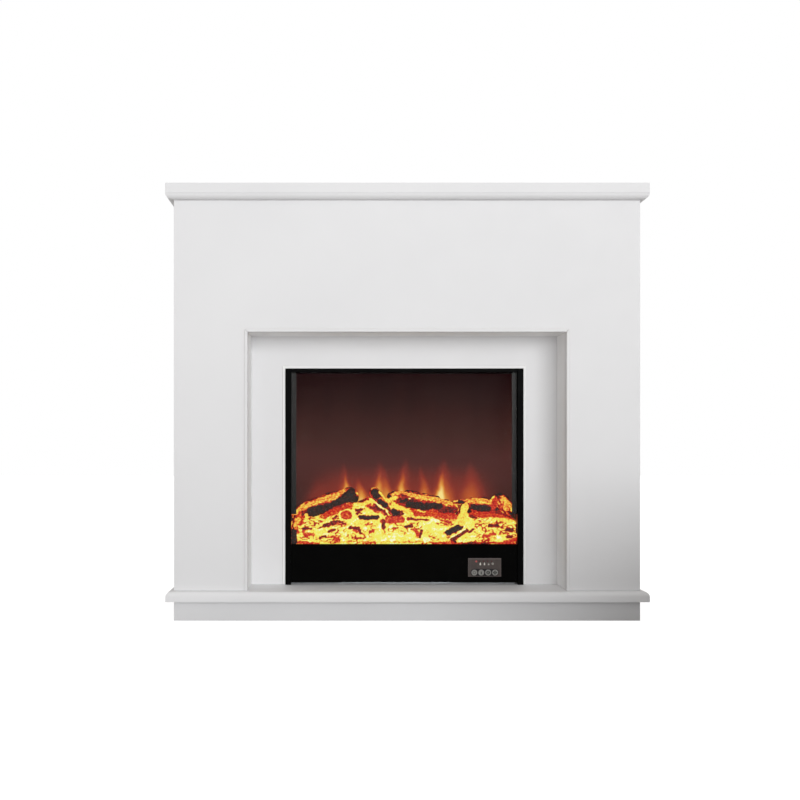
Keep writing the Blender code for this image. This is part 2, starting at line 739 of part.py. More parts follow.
def spindle_bearing():
    """Plain bush that holds the spindle's far end."""
    wall = -CASE_INSIDE + GAP
    start = (wall, SPINDLE_Y, SPINDLE_Z)
    bush = rod("spindle_bearing", "X", start, BUSH_LENGTH, BUSH_RADIUS, 24, "nylon")
    bore_start = (wall + MOTOR_SKIN, SPINDLE_Y, SPINDLE_Z)
    bore_radius = SPINDLE_RADIUS + BORE_CLEARANCE
    cut(bush, rod("spindle_bearing_bore", "X", bore_start, BUSH_LENGTH + REACH, bore_radius, 32))


BOARD_SHEET = 0.0016     # circuit board thickness
STRIP_HALF = 0.255
STRIP_WIDTH = 0.022
LAMP_SPAN = 0.480
LAMP_COUNT = 12
LAMP_SIZE = 0.005
LAMP_TOP = 0.0028


def lamp_strip(name, y, z):
    """Narrow circuit board with a row of lamps on it."""
    width = (y - STRIP_WIDTH / 2, y + STRIP_WIDTH / 2)
    strip = box(name, (-STRIP_HALF, STRIP_HALF), width, (z, z + BOARD_SHEET), "circuit_board")
    pitch = LAMP_SPAN / LAMP_COUNT
    reach = LAMP_SIZE / 2
    lamps = []
    for index in range(LAMP_COUNT):
        middle = (index - (LAMP_COUNT - 1) / 2) * pitch
        across = (middle - reach, middle + reach)
        lamps.append((across, (y - reach, y + reach), (z + BOARD_SHEET / 2, z + LAMP_TOP)))
    add(strip, boxes(name + "_lamps", lamps))


# ---------------------------------------------------------------- fire: fan heater
HOUSING_HALF = 0.145
HOUSING_LOW = WHEEL_X - HOUSING_HALF
HOUSING_HIGH = WHEEL_X + HOUSING_HALF
DUCT_ROOF = 0.106
SCROLL_END = 160        # degrees, where the scroll meets the duct's roof
INTAKE_LOW = 0.010      # below the wheel's axis
INTAKE_HIGH = 0.022     # above it
CASE_FLOOR = BODY_BASE + SHEET + GAP


def heater_housing():
    """Scroll round the blower wheel that opens forward into a duct, closed by two end plates."""
    centre = (WHEEL_Y, WHEEL_Z)
    lining = CASE_FLOOR + SHEET
    sweep = WHEEL_Z - lining
    mouth = FASCIA_BACK + 0.004
    inner = arc(centre, sweep, -90, SCROLL_END, 12)
    outer = arc(centre, sweep + SHEET, -90, SCROLL_END, 12)
    roof = DUCT_ROOF + SHEET
    room = [(mouth, lining)] + inner + [(inner[-1][0], DUCT_ROOF), (mouth, DUCT_ROOF)]
    shell = [(mouth, CASE_FLOOR)] + outer + [(outer[-1][0], roof), (mouth, roof)]
    housing = slab("heater_housing", "YZ", [shell], HOUSING_LOW, HOUSING_HIGH, "zinc_steel")
    inside = (HOUSING_LOW + SHEET, HOUSING_HIGH - SHEET)
    cut(housing, slab("housing_room", "YZ", [room], *inside))
    throat_depth = (mouth - REACH, mouth + REACH)
    cut(housing, box("housing_throat", inside, throat_depth, (lining, DUCT_ROOF)))
    intake = box(
        "housing_intake", (HOUSING_LOW + 0.02, HOUSING_HIGH - 0.02),
        (WHEEL_Y + sweep / 2, WHEEL_Y + sweep + REACH),
        (WHEEL_Z - INTAKE_LOW, WHEEL_Z + INTAKE_HIGH),
    )
    cut(housing, intake)
    start = (HOUSING_LOW - REACH, WHEEL_Y, WHEEL_Z)
    bore_radius = SHAFT_RADIUS + BORE_CLEARANCE
    cut(housing, rod("housing_bores", "X", start, 2 * (HOUSING_HALF + REACH), bore_radius, 32))


ELEMENT_HALF = 0.120
ELEMENT_DEPTH = (-0.004, 0.014)
ELEMENT_HEIGHT = 0.022
ELEMENT_WALL = 0.003
FIN_COUNT = 16
FIN_PITCH = 0.0142
FIN_GAP = 0.0095


def heater_element():
    """Finned ceramic heating block in the duct."""
    floor = CASE_FLOOR + SHEET + GAP
    across = (WHEEL_X - ELEMENT_HALF, WHEEL_X + ELEMENT_HALF)
    height = (floor, floor + ELEMENT_HEIGHT)
    block = box("heater_element", across, ELEMENT_DEPTH, height, "heater_ceramic")
    first = WHEEL_X - (FIN_PITCH * (FIN_COUNT - 1) + FIN_GAP) / 2
    through = (ELEMENT_DEPTH[0] - REACH, ELEMENT_DEPTH[1] + REACH)
    clear = (floor + ELEMENT_WALL, floor + ELEMENT_HEIGHT - ELEMENT_WALL)
    slots = []
    for index in range(FIN_COUNT):
        left = first + index * FIN_PITCH
        slots.append(((left, left + FIN_GAP), through, clear))
    cut(block, boxes("element_slots", slots))


WHEEL_END = 0.004       # solid ring at each end of the wheel
WHEEL_WALL = 0.007      # blade depth
BLADE_GAP = 0.009
SHAFT_PAST_MOTOR = 0.012
SHAFT_PAST_PLATE = 0.006


def blade_gap(low, length, angle):
    """Cutter for one gap between blades, turned about the wheel's axis."""
    gap = box(
        "blade_gap", (low, low + length), (WHEEL_Y - BLADE_GAP / 2, WHEEL_Y + BLADE_GAP / 2),
        (WHEEL_Z + WHEEL_RADIUS - REACH, WHEEL_Z + WHEEL_RADIUS + WHEEL_END),
    )
    axis = Matrix.Translation((0, WHEEL_Y, WHEEL_Z))
    turn = axis @ Matrix.Rotation(angle, 4, "X") @ axis.inverted()
    gap.matrix_world = turn @ Matrix.Translation(gap.location)
    return gap


def blower_wheel():
    """Tangential fan wheel: a cage of blades between rings, on a shaft."""
    low = WHEEL_X - WHEEL_LENGTH / 2
    start = (low, WHEEL_Y, WHEEL_Z)
    wheel = rod("blower_wheel", "X", start, WHEEL_LENGTH, WHEEL_RADIUS, 24, "nylon")
    wall = WHEEL_END - 0.001
    hollow_start = (low + wall, WHEEL_Y, WHEEL_Z)
    hollow_radius = WHEEL_RADIUS - WHEEL_WALL
    cut(wheel, rod("wheel_hollow", "X", hollow_start, WHEEL_LENGTH - 2 * wall, hollow_radius, 24))
    bay = (WHEEL_LENGTH - 3 * WHEEL_END) / 2
    gaps = []
    for bay_low in (low + WHEEL_END, low + 2 * WHEEL_END + bay):
        for blade in range(WHEEL_BLADES):
            gaps.append(blade_gap(bay_low, bay, math.tau * blade / WHEEL_BLADES))
    bpy.context.view_layer.update()
    cut(wheel, joined("blade_gaps", gaps))
    shaft_low = HOUSING_LOW - SHAFT_PAST_MOTOR
    shaft_length = HOUSING_HIGH + SHAFT_PAST_PLATE - shaft_low
    shaft_start = (shaft_low, WHEEL_Y, WHEEL_Z)
    add(wheel, rod("wheel_shaft", "X", shaft_start, shaft_length, SHAFT_RADIUS, 16))


BLOWER_MOTOR_LENGTH = 0.042
BLOWER_MOTOR_RADIUS = 0.022


def blower_motor():
    """Motor on the housing's end plate, bored for the wheel's shaft."""
    face = HOUSING_LOW - GAP
    start = (face - BLOWER_MOTOR_LENGTH, WHEEL_Y, WHEEL_Z)
    motor = rod(
        "blower_motor", "X", start, BLOWER_MOTOR_LENGTH, BLOWER_MOTOR_RADIUS, 24, "motor_steel"
    )
    bore_start = (face - SHAFT_PAST_MOTOR - 0.002, WHEEL_Y, WHEEL_Z)
    bore_radius = SHAFT_RADIUS + BORE_CLEARANCE
    cut(motor, rod("motor_bore", "X", bore_start, 2 * REACH, bore_radius, 32))


def thermal_cutout():
    """Round thermostat on the duct's roof."""
    seat = DUCT_ROOF + SHEET + GAP
    rod("thermal_cutout", "Z", (WHEEL_X + 0.080, 0.006, seat), 0.008, 0.008, 20, "nylon")


# ---------------------------------------------------------------- fire: controls
PANEL_BACK = FASCIA_FRONT - GAP
PANEL_FRONT = PANEL_BACK - PANEL_PLATE
BUTTON_Z = PANEL_Z - BUTTON_DROP
SKIRT_BACK = FASCIA_FRONT + 0.007
BOARD_FRONT = SKIRT_BACK + GAP
LAMP_RADIUS = 0.0023
WARNING_LAMP = (-0.0221, 0.0158, 0.0016)    # across, up from the panel's middle, radius
BUTTON_NAMES = ("power_button", "flame_button", "heat_button", "timer_button")


def button_places():
    return [PANEL_X + (index - 1.5) * BUTTON_PITCH for index in range(len(BUTTON_NAMES))]


def lamp_places():
    """Four indicator lamps in a row, and one small warning lamp up and to the left."""
    places = []
    for index in range(4):
        x = PANEL_X + LAMP_OFFSET + (index - 1.5) * LAMP_PITCH
        places.append((x, PANEL_Z + LAMP_RISE, LAMP_RADIUS))
    across, up, radius = WARNING_LAMP
    places.append((PANEL_X + across, PANEL_Z + up, radius))
    return places


def panel_box(name, inset, front, back, finish_name=None):
    """Box behind the panel's outline, smaller by an inset all round."""
    half_w = PANEL_WIDTH / 2 - inset
    half_h = PANEL_HEIGHT / 2 - inset
    across = (PANEL_X - half_w, PANEL_X + half_w)
    return box(name, across, (front, back), (PANEL_Z - half_h, PANEL_Z + half_h), finish_name)


def control_bezel():
    """Plastic panel: a face plate on the fascia and a skirt through its window."""
    plate = panel_box("control_bezel", 0, PANEL_FRONT, PANEL_BACK, "panel_plastic")
    add(plate, panel_box("bezel_skirt", SKIRT_INSET, PANEL_FRONT + 0.0005, SKIRT_BACK))
    cut(plate, panel_box("bezel_pocket", SKIRT_INSET + SKIRT_WALL, PANEL_BACK, SKIRT_BACK + REACH))
    front = PANEL_FRONT - REACH
    length = 2 * REACH
    holes = []
    for index, x in enumerate(button_places()):
        hole_radius = BUTTON_RADIUS + GAP
        holes.append(rod(f"hole_{index}", "Y", (x, front, BUTTON_Z), length, hole_radius))
    for index, (x, z, radius) in enumerate(lamp_places()):
        holes.append(rod(f"lamp_hole_{index}", "Y", (x, front, z), length, radius + GAP, 12))
    bpy.context.view_layer.update()
    cut(plate, joined("bezel_holes", holes))


GUIDE_THICKNESS = 0.0025
GUIDE_SPAN = (-0.0260, 0.0250)      # from the panel's middle
GUIDE_RISE = (0.006, 0.019)


def light_guide():
    """Clear bar behind the panel with a peg for each lamp."""
    front = PANEL_BACK + GAP
    across = (PANEL_X + GUIDE_SPAN[0], PANEL_X + GUIDE_SPAN[1])
    height = (PANEL_Z + GUIDE_RISE[0], PANEL_Z + GUIDE_RISE[1])
    bar = box("light_guide", across, (front, front + GUIDE_THICKNESS), height, "lamp_plastic")
    for index, (x, z, radius) in enumerate(lamp_places()):
        add(bar, rod(f"lamp_peg_{index}", "Y", (x, PANEL_FRONT - GAP, z), 0.004, radius, 12))


FLANGE_THICKNESS = 0.001
STEM_RADIUS = 0.0025


def push_buttons():
    """Round caps with a flange behind the panel and a stem towards the control board."""
    flange = PANEL_BACK + GAP
    middle = flange + FLANGE_THICKNESS / 2
    face = PANEL_FRONT - BUTTON_PROUD
    stem_end = BOARD_FRONT - BUTTON_TRAVEL - GAP
    wide = BUTTON_RADIUS + BUTTON_FLANGE
    for name, x in zip(BUTTON_NAMES, button_places()):
        start = (x, face, BUTTON_Z)
        cap = rod(name, "Y", start, middle - face, BUTTON_RADIUS, 24, "button_plastic")
        add(cap, rod(name + "_flange", "Y", (x, flange, BUTTON_Z), FLANGE_THICKNESS, wide))
        stem_start = (x, middle, BUTTON_Z)
        add(cap, rod(name + "_stem", "Y", stem_start, stem_end - middle, STEM_RADIUS, 12))


def control_board():
    """Board on the back of the panel's skirt, with one chip."""
    back = BOARD_FRONT + BOARD_SHEET
    board = panel_box("control_board", SKIRT_INSET, BOARD_FRONT, back, "circuit_board")
    chip = box(
        "control_chip", (PANEL_X - 0.008, PANEL_X + 0.008), (BOARD_FRONT + 0.001, back + 0.0024),
        (PANEL_Z, PANEL_Z + 0.012),
    )
    add(board, chip)


STANDOFF = 0.005
POWER_BOARD_X = (0.150, 0.285)
POWER_BOARD_Y = (0.030, 0.115)


def power_board():
    """Board with a transformer and two relays, on four standoffs on the case floor."""
    low = CASE_FLOOR + STANDOFF
    height = (low, low + BOARD_SHEET)
    board = box("power_board", POWER_BOARD_X, POWER_BOARD_Y, height, "circuit_board")
    parts = [((0.165, 0.205), (0.045, 0.085), (low + 0.001, low + 0.032))]
    for left in (0.220, 0.250):
        parts.append(((left, left + 0.018), (0.045, 0.075), (low + 0.001, low + 0.018)))
    for left in (POWER_BOARD_X[0] + 0.003, POWER_BOARD_X[1] - 0.009):
        for near in (POWER_BOARD_Y[0] + 0.003, POWER_BOARD_Y[1] - 0.009):
            leg = (CASE_FLOOR, low + 0.001)
            parts.append(((left, left + 0.006), (near, near + 0.006), leg))
    add(board, boxes("board_parts", parts))


# ---------------------------------------------------------------- build
def build():
    clear_scene()
    mantel_shelf()
    shelf_mouldings()
    front_panel()
    side_panels()
    opening_trims()
    recess_returns()
    inner_panel()
    insert_trim()
    hearth_slab()
    plinth()
    rear_rails()
    shelf_cleats()
    fire_frame()
    glass_pane()
    glass_retainers()
    lower_fascia()
    steel_case()
    rear_cover()
    cable_gland()
    log_shelf()
    log_set()
    flame_screen()
    flame_baffle()
    flame_spindle()
    spindle_motor()
    spindle_bearing()
    lamp_strip("ember_lamp_board", EMBER_LAMP_Y, FASCIA_TOP - SHEET - GAP - BOARD_SHEET)
    lamp_strip("flame_lamp_board", SPINDLE_Y - 0.010, FASCIA_TOP + GAP)
    heater_housing()
    heater_element()
    blower_wheel()
    blower_motor()
    thermal_cutout()
    control_bezel()
    light_guide()
    push_buttons()
    control_board()
    power_board()


build()
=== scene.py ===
"""Looks of the electric fireplace: paint and metal finishes, glowing logs, flames, small fittings,
light and camera. Metres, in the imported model's frame: +Z up and the front faces -Y."""

import json
import math

import bmesh
import bpy
import numpy as np
from mathutils import Matrix, Vector, noise


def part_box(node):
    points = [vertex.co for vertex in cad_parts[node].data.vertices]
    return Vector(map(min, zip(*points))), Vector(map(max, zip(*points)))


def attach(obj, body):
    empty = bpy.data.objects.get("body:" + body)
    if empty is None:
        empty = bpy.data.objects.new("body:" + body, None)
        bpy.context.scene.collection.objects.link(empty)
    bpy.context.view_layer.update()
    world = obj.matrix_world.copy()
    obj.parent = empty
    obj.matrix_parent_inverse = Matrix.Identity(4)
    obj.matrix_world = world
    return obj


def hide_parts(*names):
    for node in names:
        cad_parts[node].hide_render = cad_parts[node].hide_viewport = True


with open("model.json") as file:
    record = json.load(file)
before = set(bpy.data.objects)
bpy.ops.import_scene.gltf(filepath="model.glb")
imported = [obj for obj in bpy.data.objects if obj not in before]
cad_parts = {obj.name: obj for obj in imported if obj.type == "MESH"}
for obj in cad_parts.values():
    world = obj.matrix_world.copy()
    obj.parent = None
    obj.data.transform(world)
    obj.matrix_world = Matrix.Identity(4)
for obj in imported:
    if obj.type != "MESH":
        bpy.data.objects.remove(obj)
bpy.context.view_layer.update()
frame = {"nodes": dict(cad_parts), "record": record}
NODES = frame["nodes"]
SHELL = "fireplace"         # the body that everything fixed rides on


# -------------------- colours
def srgb(red, green, blue):
    """Linear colour of an 8-bit display colour."""
    linear = []
    for value in (red, green, blue):
        share = value / 255
        linear.append(share / 12.92 if share <= 0.04045 else ((share + 0.055) / 1.055) ** 2.4)
    return tuple(linear)


# -------------------- material graphs
class Tree:
    """Node tree with a short call for each kind of node that is used most."""

    def __init__(self, tree):
        self.tree = tree

    def plug(self, socket, value):
        """Link a socket, or set it to a plain value."""
        if isinstance(value, bpy.types.NodeSocket):
            self.tree.links.new(value, socket)
        else:
            socket.default_value = value

    def node(self, kind, inputs, output=0, **settings):
        made = self.tree.nodes.new("ShaderNode" + kind)
        for key, value in settings.items():
            setattr(made, key, value)
        for key, value in inputs.items():
            self.plug(made.inputs[key], value)
        return made.outputs[output]

    def calc(self, operation, first, second=0.0, clamped=False):
        return self.node("Math", {0: first, 1: second}, operation=operation, use_clamp=clamped)

    def span(self, value, low, high, to_low=0.0, to_high=1.0, smooth=False):
        """Map one range to another, held at its ends."""
        inputs = {"Value": value, "From Min": low, "From Max": high, "To Min": to_low, "To Max": to_high}
        kind = "SMOOTHSTEP" if smooth else "LINEAR"
        return self.node("MapRange", inputs, interpolation_type=kind)

    def signed(self, value, reach):
        """Turn a value from 0 to 1 into one about zero, this wide from end to end."""
        return self.calc("MULTIPLY", self.calc("SUBTRACT", value, 0.5), reach)


class Graph(Tree):
    """Node tree of one new material."""

    def __init__(self, name, colour, roughness, metallic=0.0, specular=0.5):
        self.material = bpy.data.materials.new(name)
        self.material.use_nodes = True
        super().__init__(self.material.node_tree)
        self.shader = self.tree.nodes["Principled BSDF"]
        self.feed("Base Color", (*colour, 1.0))
        self.feed("Roughness", roughness)
        self.feed("Metallic", metallic)
        self.feed("Specular IOR Level", specular)
        self.place = self.node("TexCoord", {}, "Object")

    def feed(self, name, value):
        """Link or set one of the shader's sockets."""
        self.plug(self.shader.inputs[name], value)

    def stretched(self, x, y, z):
        """Object coordinates with each axis scaled."""
        return self.node("Mapping", {"Vector": self.place, "Scale": (x, y, z)})

    def axis(self, name, vector=None):
        return self.node("SeparateXYZ", {"Vector": vector or self.place}, name)

    def noise(self, scale, detail=3.0, roughness=0.55, vector=None, distortion=0.0):
        inputs = {"Vector": vector or self.place, "Scale": scale, "Detail": detail}
        inputs.update({"Roughness": roughness, "Distortion": distortion})
        return self.node("TexNoise", inputs)

    def cells(self, scale, output, vector):
        return self.node("TexVoronoi", {"Vector": vector, "Scale": scale}, output)

    def ramp(self, value, stops):
        """Colour for a value, through (position, colour) stops."""
        made = self.tree.nodes.new("ShaderNodeValToRGB")
        elements = made.color_ramp.elements
        while len(elements) < len(stops):
            elements.new(0.5)
        for element, (position, colour) in zip(elements, stops):
            element.position = position
            element.color = (*colour, 1.0)
        self.plug(made.inputs["Fac"], value)
        return made.outputs["Color"]

    def blend(self, factor, first, second):
        """Mix of two colours."""
        made = self.tree.nodes.new("ShaderNodeMix")
        made.data_type = "RGBA"
        ends = []
        for value in (first, second):
            ends.append(value if isinstance(value, bpy.types.NodeSocket) else (*value, 1.0))
        self.plug(made.inputs[0], factor)
        self.plug(made.inputs[6], ends[0])
        self.plug(made.inputs[7], ends[1])
        return made.outputs[2]

    def bump(self, height, distance, strength):
        inputs = {"Height": height, "Distance": distance, "Strength": strength}
        self.feed("Normal", self.node("Bump", inputs, "Normal"))

    def facing(self, direction):
        """How squarely the surface faces a fixed direction in the frame."""
        normal = self.node("NewGeometry", {}, "True Normal")
        inputs = {0: normal, 1: direction}
        return self.node("VectorMath", inputs, "Value", operation="DOT_PRODUCT")


def fibre(graph):
    """Colour and height of bare fibreboard: pale and dark fibres in a brown felt."""
    fine = graph.noise(900.0, 4.0, 0.7)
    broad = graph.noise(14.0, 3.0)
    flecks = graph.span(graph.noise(380.0, 2.0), 0.60, 0.68)
    felt = graph.blend(graph.span(fine, 0.35, 0.65), srgb(150, 118, 84), srgb(190, 158, 120))
    felt = graph.blend(graph.span(broad, 0.3, 0.7, 0.0, 0.25), felt, srgb(140, 104, 70))
    return graph.blend(graph.calc("MULTIPLY", flecks, 0.5), felt, srgb(104, 76, 50)), fine


# lighter and deeper shade of each white paint
BOARD_WHITES = ((0.83, 0.83, 0.84), (0.80, 0.80, 0.812))
# lighter copy of the board paint: painted light for the bead and the recess's returns
LIT_BEAD_WHITES = ((0.96, 0.96, 0.96), (0.93, 0.93, 0.93))
HEARTH_WHITES = ((0.88, 0.88, 0.89), (0.85, 0.85, 0.862))


def white_paint(name="white_paint", whites=BOARD_WHITES):
    """Satin paint over board; the faces towards the wall are left bare."""
    graph = Graph(name, (0.8, 0.8, 0.8), 0.4, specular=0.32)
    drift = graph.span(graph.noise(2.6, 3.0), 0.3, 0.7)
    paint = graph.blend(drift, *whites)
    board, felt = fibre(graph)
    bare = graph.span(graph.facing((0, 1, 0)), 0.5, 0.6)
    graph.feed("Base Color", graph.blend(bare, paint, board))
    satin = graph.span(graph.noise(30.0, 2.0), 0.3, 0.7, 0.42, 0.50)
    rough = graph.calc("MAXIMUM", satin, graph.calc("MULTIPLY", bare, 0.85))
    graph.feed("Roughness", rough)
    roller = graph.noise(420.0, 2.0, 0.4)
    relief = graph.calc("MULTIPLY", roller, graph.calc("SUBTRACT", 1.0, bare))
    relief = graph.calc("ADD", relief, graph.calc("MULTIPLY", felt, bare))
    graph.bump(relief, 0.00012, 0.35)
    return graph.material


def raw_board():
    graph = Graph("raw_board", (0.4, 0.3, 0.2), 0.85)
    colour, felt = fibre(graph)
    graph.feed("Base Color", colour)
    graph.bump(felt, 0.0003, 0.6)
    return graph.material


def powder_coat(name, colour, low, high):
    """Black powder coat: fine orange peel and a slightly uneven sheen."""
    graph = Graph(name, colour, low, specular=0.025)
    peel = graph.noise(1500.0, 2.0, 0.5)
    dust = graph.span(graph.noise(240.0, 4.0, 0.7), 0.55, 0.8, 0.0, 0.35)
    graph.feed("Base Color", graph.blend(dust, colour, [value * 2.2 for value in colour]))
    graph.feed("Roughness", graph.span(graph.noise(18.0), 0.3, 0.7, low, high))
    graph.bump(peel, 0.00015, 0.5)
    return graph.material


def black_frame():
    return powder_coat("black_frame", (0.0011, 0.0011, 0.0012), 0.34, 0.46)


def black_steel():
    return powder_coat("black_steel", (0.0010, 0.0010, 0.0009), 0.50, 0.62)


def zinc_steel():
    """Galvanised sheet: a patchwork of crystals; its downward faces are coloured near black as painted
    shade, so the roof of the fire chamber stays dark.
    """
    graph = Graph("zinc_steel", (0.5, 0.5, 0.5), 0.4, 0.95)
    wobble = graph.node("TexNoise", {"Vector": graph.place, "Scale": 60.0}, "Color")
    bent = graph.node("Mix", {0: 0.012, 6: graph.place, 7: wobble}, 2, data_type="RGBA")
    crystal = graph.axis("X", graph.cells(110.0, "Color", bent))
    lines = graph.noise(1.0, 2.0, 0.6, graph.stretched(900.0, 900.0, 14.0))
    tone = graph.calc("ADD", graph.calc("MULTIPLY", crystal, 0.75), graph.calc("MULTIPLY", lines, 0.25))
    bare = graph.blend(tone, srgb(164, 168, 172), srgb(204, 207, 210))
    # downward faces near black and rough: painted shade under the roof of the fire chamber
    shade_below = graph.span(graph.facing((0, 0, -1)), 0.5, 0.6)
    graph.feed("Base Color", graph.blend(shade_below, bare, srgb(16, 12, 12)))
    sheen = graph.span(crystal, 0.0, 1.0, 0.30, 0.48)
    graph.feed("Roughness", graph.calc("MAXIMUM", sheen, graph.calc("MULTIPLY", shade_below, 0.8)))
    graph.bump(tone, 0.00008, 0.4)
    return graph.material


def glass():
    """Clear pane with a trace of haze and wiping marks."""
    graph = Graph("glass", (0.02, 0.025, 0.025), 0.05)
    wipe = graph.noise(1.0, 3.0, 0.6, graph.stretched(3.0, 3.0, 14.0), 1.2)
    graph.feed("Roughness", graph.span(wipe, 0.35, 0.7, 0.03, 0.12))
    graph.feed("Base Color", graph.blend(wipe, (0.018, 0.022, 0.022), (0.026, 0.031, 0.030)))
    graph.feed("Alpha", 0.010)
    return graph.material


def grey_strip():
    """Satin grey strip, brushed along its length."""
    graph = Graph("grey_strip", (0.03, 0.03, 0.03), 0.45, 0.2, 0.3)
    brush = graph.noise(1.0, 3.0, 0.65, graph.stretched(2400.0, 2400.0, 16.0))
    graph.feed("Base Color", graph.blend(brush, srgb(14, 13, 12), srgb(30, 28, 26)))
    graph.feed("Roughness", graph.span(brush, 0.3, 0.7, 0.38, 0.55))
    graph.bump(brush, 0.00006, 0.4)
    return graph.material


# paint over glowing resin, from none (0) to full char (1)
RESIN_STOPS = [
    (0.00, srgb(252, 250, 218)),
    (0.06, srgb(244, 245, 160)),
    (0.13, srgb(240, 240, 106)),
    (0.27, srgb(241, 232, 88)),
    (0.38, srgb(240, 186, 70)),
    (0.45, srgb(234, 134, 52)),
    (0.52, srgb(215, 72, 36)),
    (0.60, srgb(198, 32, 26)),
    (0.74, srgb(142, 25, 21)),
    (0.86, srgb(70, 26, 22)),
    (1.00, srgb(37, 31, 29)),
]
RESIN_GLOW = 0.96
# unevenness of the paint, at a fine and at a broader scale
SPECK = 0.38
BLOTCH = 0.76


def log_resin():
    """Resin lit from below: it glows where it is bare and hides the light where it is painted."""
    graph = Graph("log_resin", srgb(40, 36, 33), 0.62, specular=0.2)
    paint = graph.node("Attribute", {}, "Fac", attribute_name="paint")
    grain = graph.noise(520.0, 3.0, 0.65)
    patch = graph.noise(170.0, 3.0, 0.6)
    speck = graph.calc("ADD", paint, graph.signed(grain, SPECK))
    amount = graph.calc("ADD", speck, graph.signed(patch, BLOTCH))
    glow = graph.ramp(amount, RESIN_STOPS)
    graph.feed("Emission Color", glow)
    graph.feed("Emission Strength", RESIN_GLOW)
    bark = graph.blend(graph.span(amount, 0.3, 0.8), srgb(70, 46, 32), srgb(34, 31, 29))
    graph.feed("Base Color", bark)
    graph.feed("Roughness", graph.span(grain, 0.3, 0.7, 0.5, 0.8))
    graph.bump(graph.calc("ADD", grain, patch), 0.0008, 0.6)
    return graph.material


# -------------------- flame screen
# glow of the bare screen by height above the floor
SCREEN_LOW = 0.28
SCREEN_HIGH = 0.645
SCREEN_STOPS = [
    (0.00, srgb(68, 42, 39)),
    (0.20, srgb(76, 43, 40)),
    (0.36, srgb(76, 41, 38)),
    (0.52, srgb(63, 35, 31)),
    (0.65, srgb(54, 27, 24)),
    (0.78, srgb(42, 18, 16)),
    (0.90, srgb(32, 8, 8)),
    (1.00, srgb(26, 4, 5)),
]
FLAME_STOPS = [
    (0.00, srgb(76, 41, 38)),
    (0.12, srgb(106, 47, 41)),
    (0.30, srgb(140, 55, 44)),
    (0.50, srgb(186, 88, 46)),
    (0.74, srgb(226, 156, 66)),
    (1.00, srgb(250, 226, 140)),
]
SCREEN_GLOW = 0.97
# the red glow behind the logs: heights and distances from the middle between which it fades out
GLOW_FOOT = 0.31
GLOW_TOP = 0.41
GLOW_NEAR = 0.16
GLOW_FAR = 0.305
GLOW_LEVEL = 0.28
SWAY = 0.012                # sideways wander of the flames
VEIL = 0.20                 # unevenness of the bare screen
# centre, foot height, rise, half width, lean of the tip, brightness
TONGUES = [
    (-0.153, 0.300, 0.104, 0.024, -0.010, 0.30),
    (-0.152, 0.300, 0.078, 0.011, -0.004, 0.52),
    (-0.108, 0.286, 0.072, 0.024, -0.014, 0.64),
    (-0.060, 0.296, 0.122, 0.030, 0.000, 0.28),
    (-0.066, 0.306, 0.086, 0.013, 0.008, 0.40),
    (-0.034, 0.290, 0.100, 0.020, -0.018, 0.34),
    (-0.002, 0.300, 0.128, 0.026, 0.016, 0.32),
    (-0.004, 0.300, 0.092, 0.011, 0.010, 0.40),
    (0.068, 0.290, 0.104, 0.020, -0.018, 0.44),
    (0.114, 0.284, 0.142, 0.036, 0.002, 0.42),
    (0.104, 0.286, 0.098, 0.014, 0.008, 0.66),
    (0.196, 0.276, 0.140, 0.040, -0.006, 0.34),
    (-0.236, 0.262, 0.100, 0.060, 0.006, 0.16),
]
TONGUE_SOCKETS = ("X", "Z", "Centre", "Foot", "Rise", "Half", "Lean")
TONGUE_TIP = 0.0012         # half width that a flame ends with


def tongue_group():
    """Brightness of one flame: widest low down, leaning and fading to a point."""
    group = bpy.data.node_groups.new("flame_tongue", "ShaderNodeTree")
    for name in TONGUE_SOCKETS:
        group.interface.new_socket(name, in_out="INPUT", socket_type="NodeSocketFloat")
    group.interface.new_socket("Light", in_out="OUTPUT", socket_type="NodeSocketFloat")
    entry = group.nodes.new("NodeGroupInput").outputs
    leave = group.nodes.new("NodeGroupOutput").inputs
    tree = Tree(group)
    above = tree.calc("SUBTRACT", entry["Z"], entry["Foot"])
    risen = tree.calc("DIVIDE", above, entry["Rise"], clamped=True)
    left = tree.calc("SUBTRACT", 1.0, risen)
    line = tree.calc("ADD", entry["Centre"], tree.calc("MULTIPLY", entry["Lean"], risen))
    aside = tree.calc("ABSOLUTE", tree.calc("SUBTRACT", entry["X"], line))
    taper = tree.calc("MULTIPLY", entry["Half"], tree.calc("POWER", left, 0.75))
    width = tree.calc("ADD", taper, TONGUE_TIP)
    body = tree.span(tree.calc("DIVIDE", aside, width), 0.0, 1.3, 1.0, 0.0, smooth=True)
    tree.plug(leave["Light"], tree.calc("MULTIPLY", body, tree.calc("POWER", left, 1.1)))
    return group


def flame_screen():
    """Smoked sheet with the flame effect thrown on it from behind."""
    graph = Graph("flame_screen", srgb(9, 7, 7), 0.5, specular=0.03)
    across = graph.calc("ADD", graph.axis("X"), graph.signed(graph.noise(34.0, 2.0), SWAY))
    height = graph.axis("Z")
    group = tongue_group()
    middle = graph.span(graph.calc("ABSOLUTE", graph.axis("X")), GLOW_FAR, GLOW_NEAR, smooth=True)
    light = graph.calc("MULTIPLY", graph.span(height, GLOW_TOP, GLOW_FOOT, 0.0, GLOW_LEVEL), middle)
    for *shape, strength in TONGUES:
        inputs = dict(zip(TONGUE_SOCKETS, (across, height, *shape)))
        tongue = graph.node("Group", inputs, node_tree=group)
        light = graph.calc("ADD", light, graph.calc("MULTIPLY", tongue, strength))
    streaks = graph.noise(1.0, 3.0, 0.5, graph.stretched(17.0, 1.0, 2.4), 0.4)
    level = graph.calc("ADD", graph.span(height, SCREEN_LOW, SCREEN_HIGH), graph.signed(streaks, VEIL))
    bare = graph.ramp(level, SCREEN_STOPS)
    flame = graph.ramp(light, FLAME_STOPS)
    graph.feed("Emission Color", graph.blend(graph.span(light, 0.0, 0.16), bare, flame))
    graph.feed("Emission Strength", SCREEN_GLOW)
    return graph.material


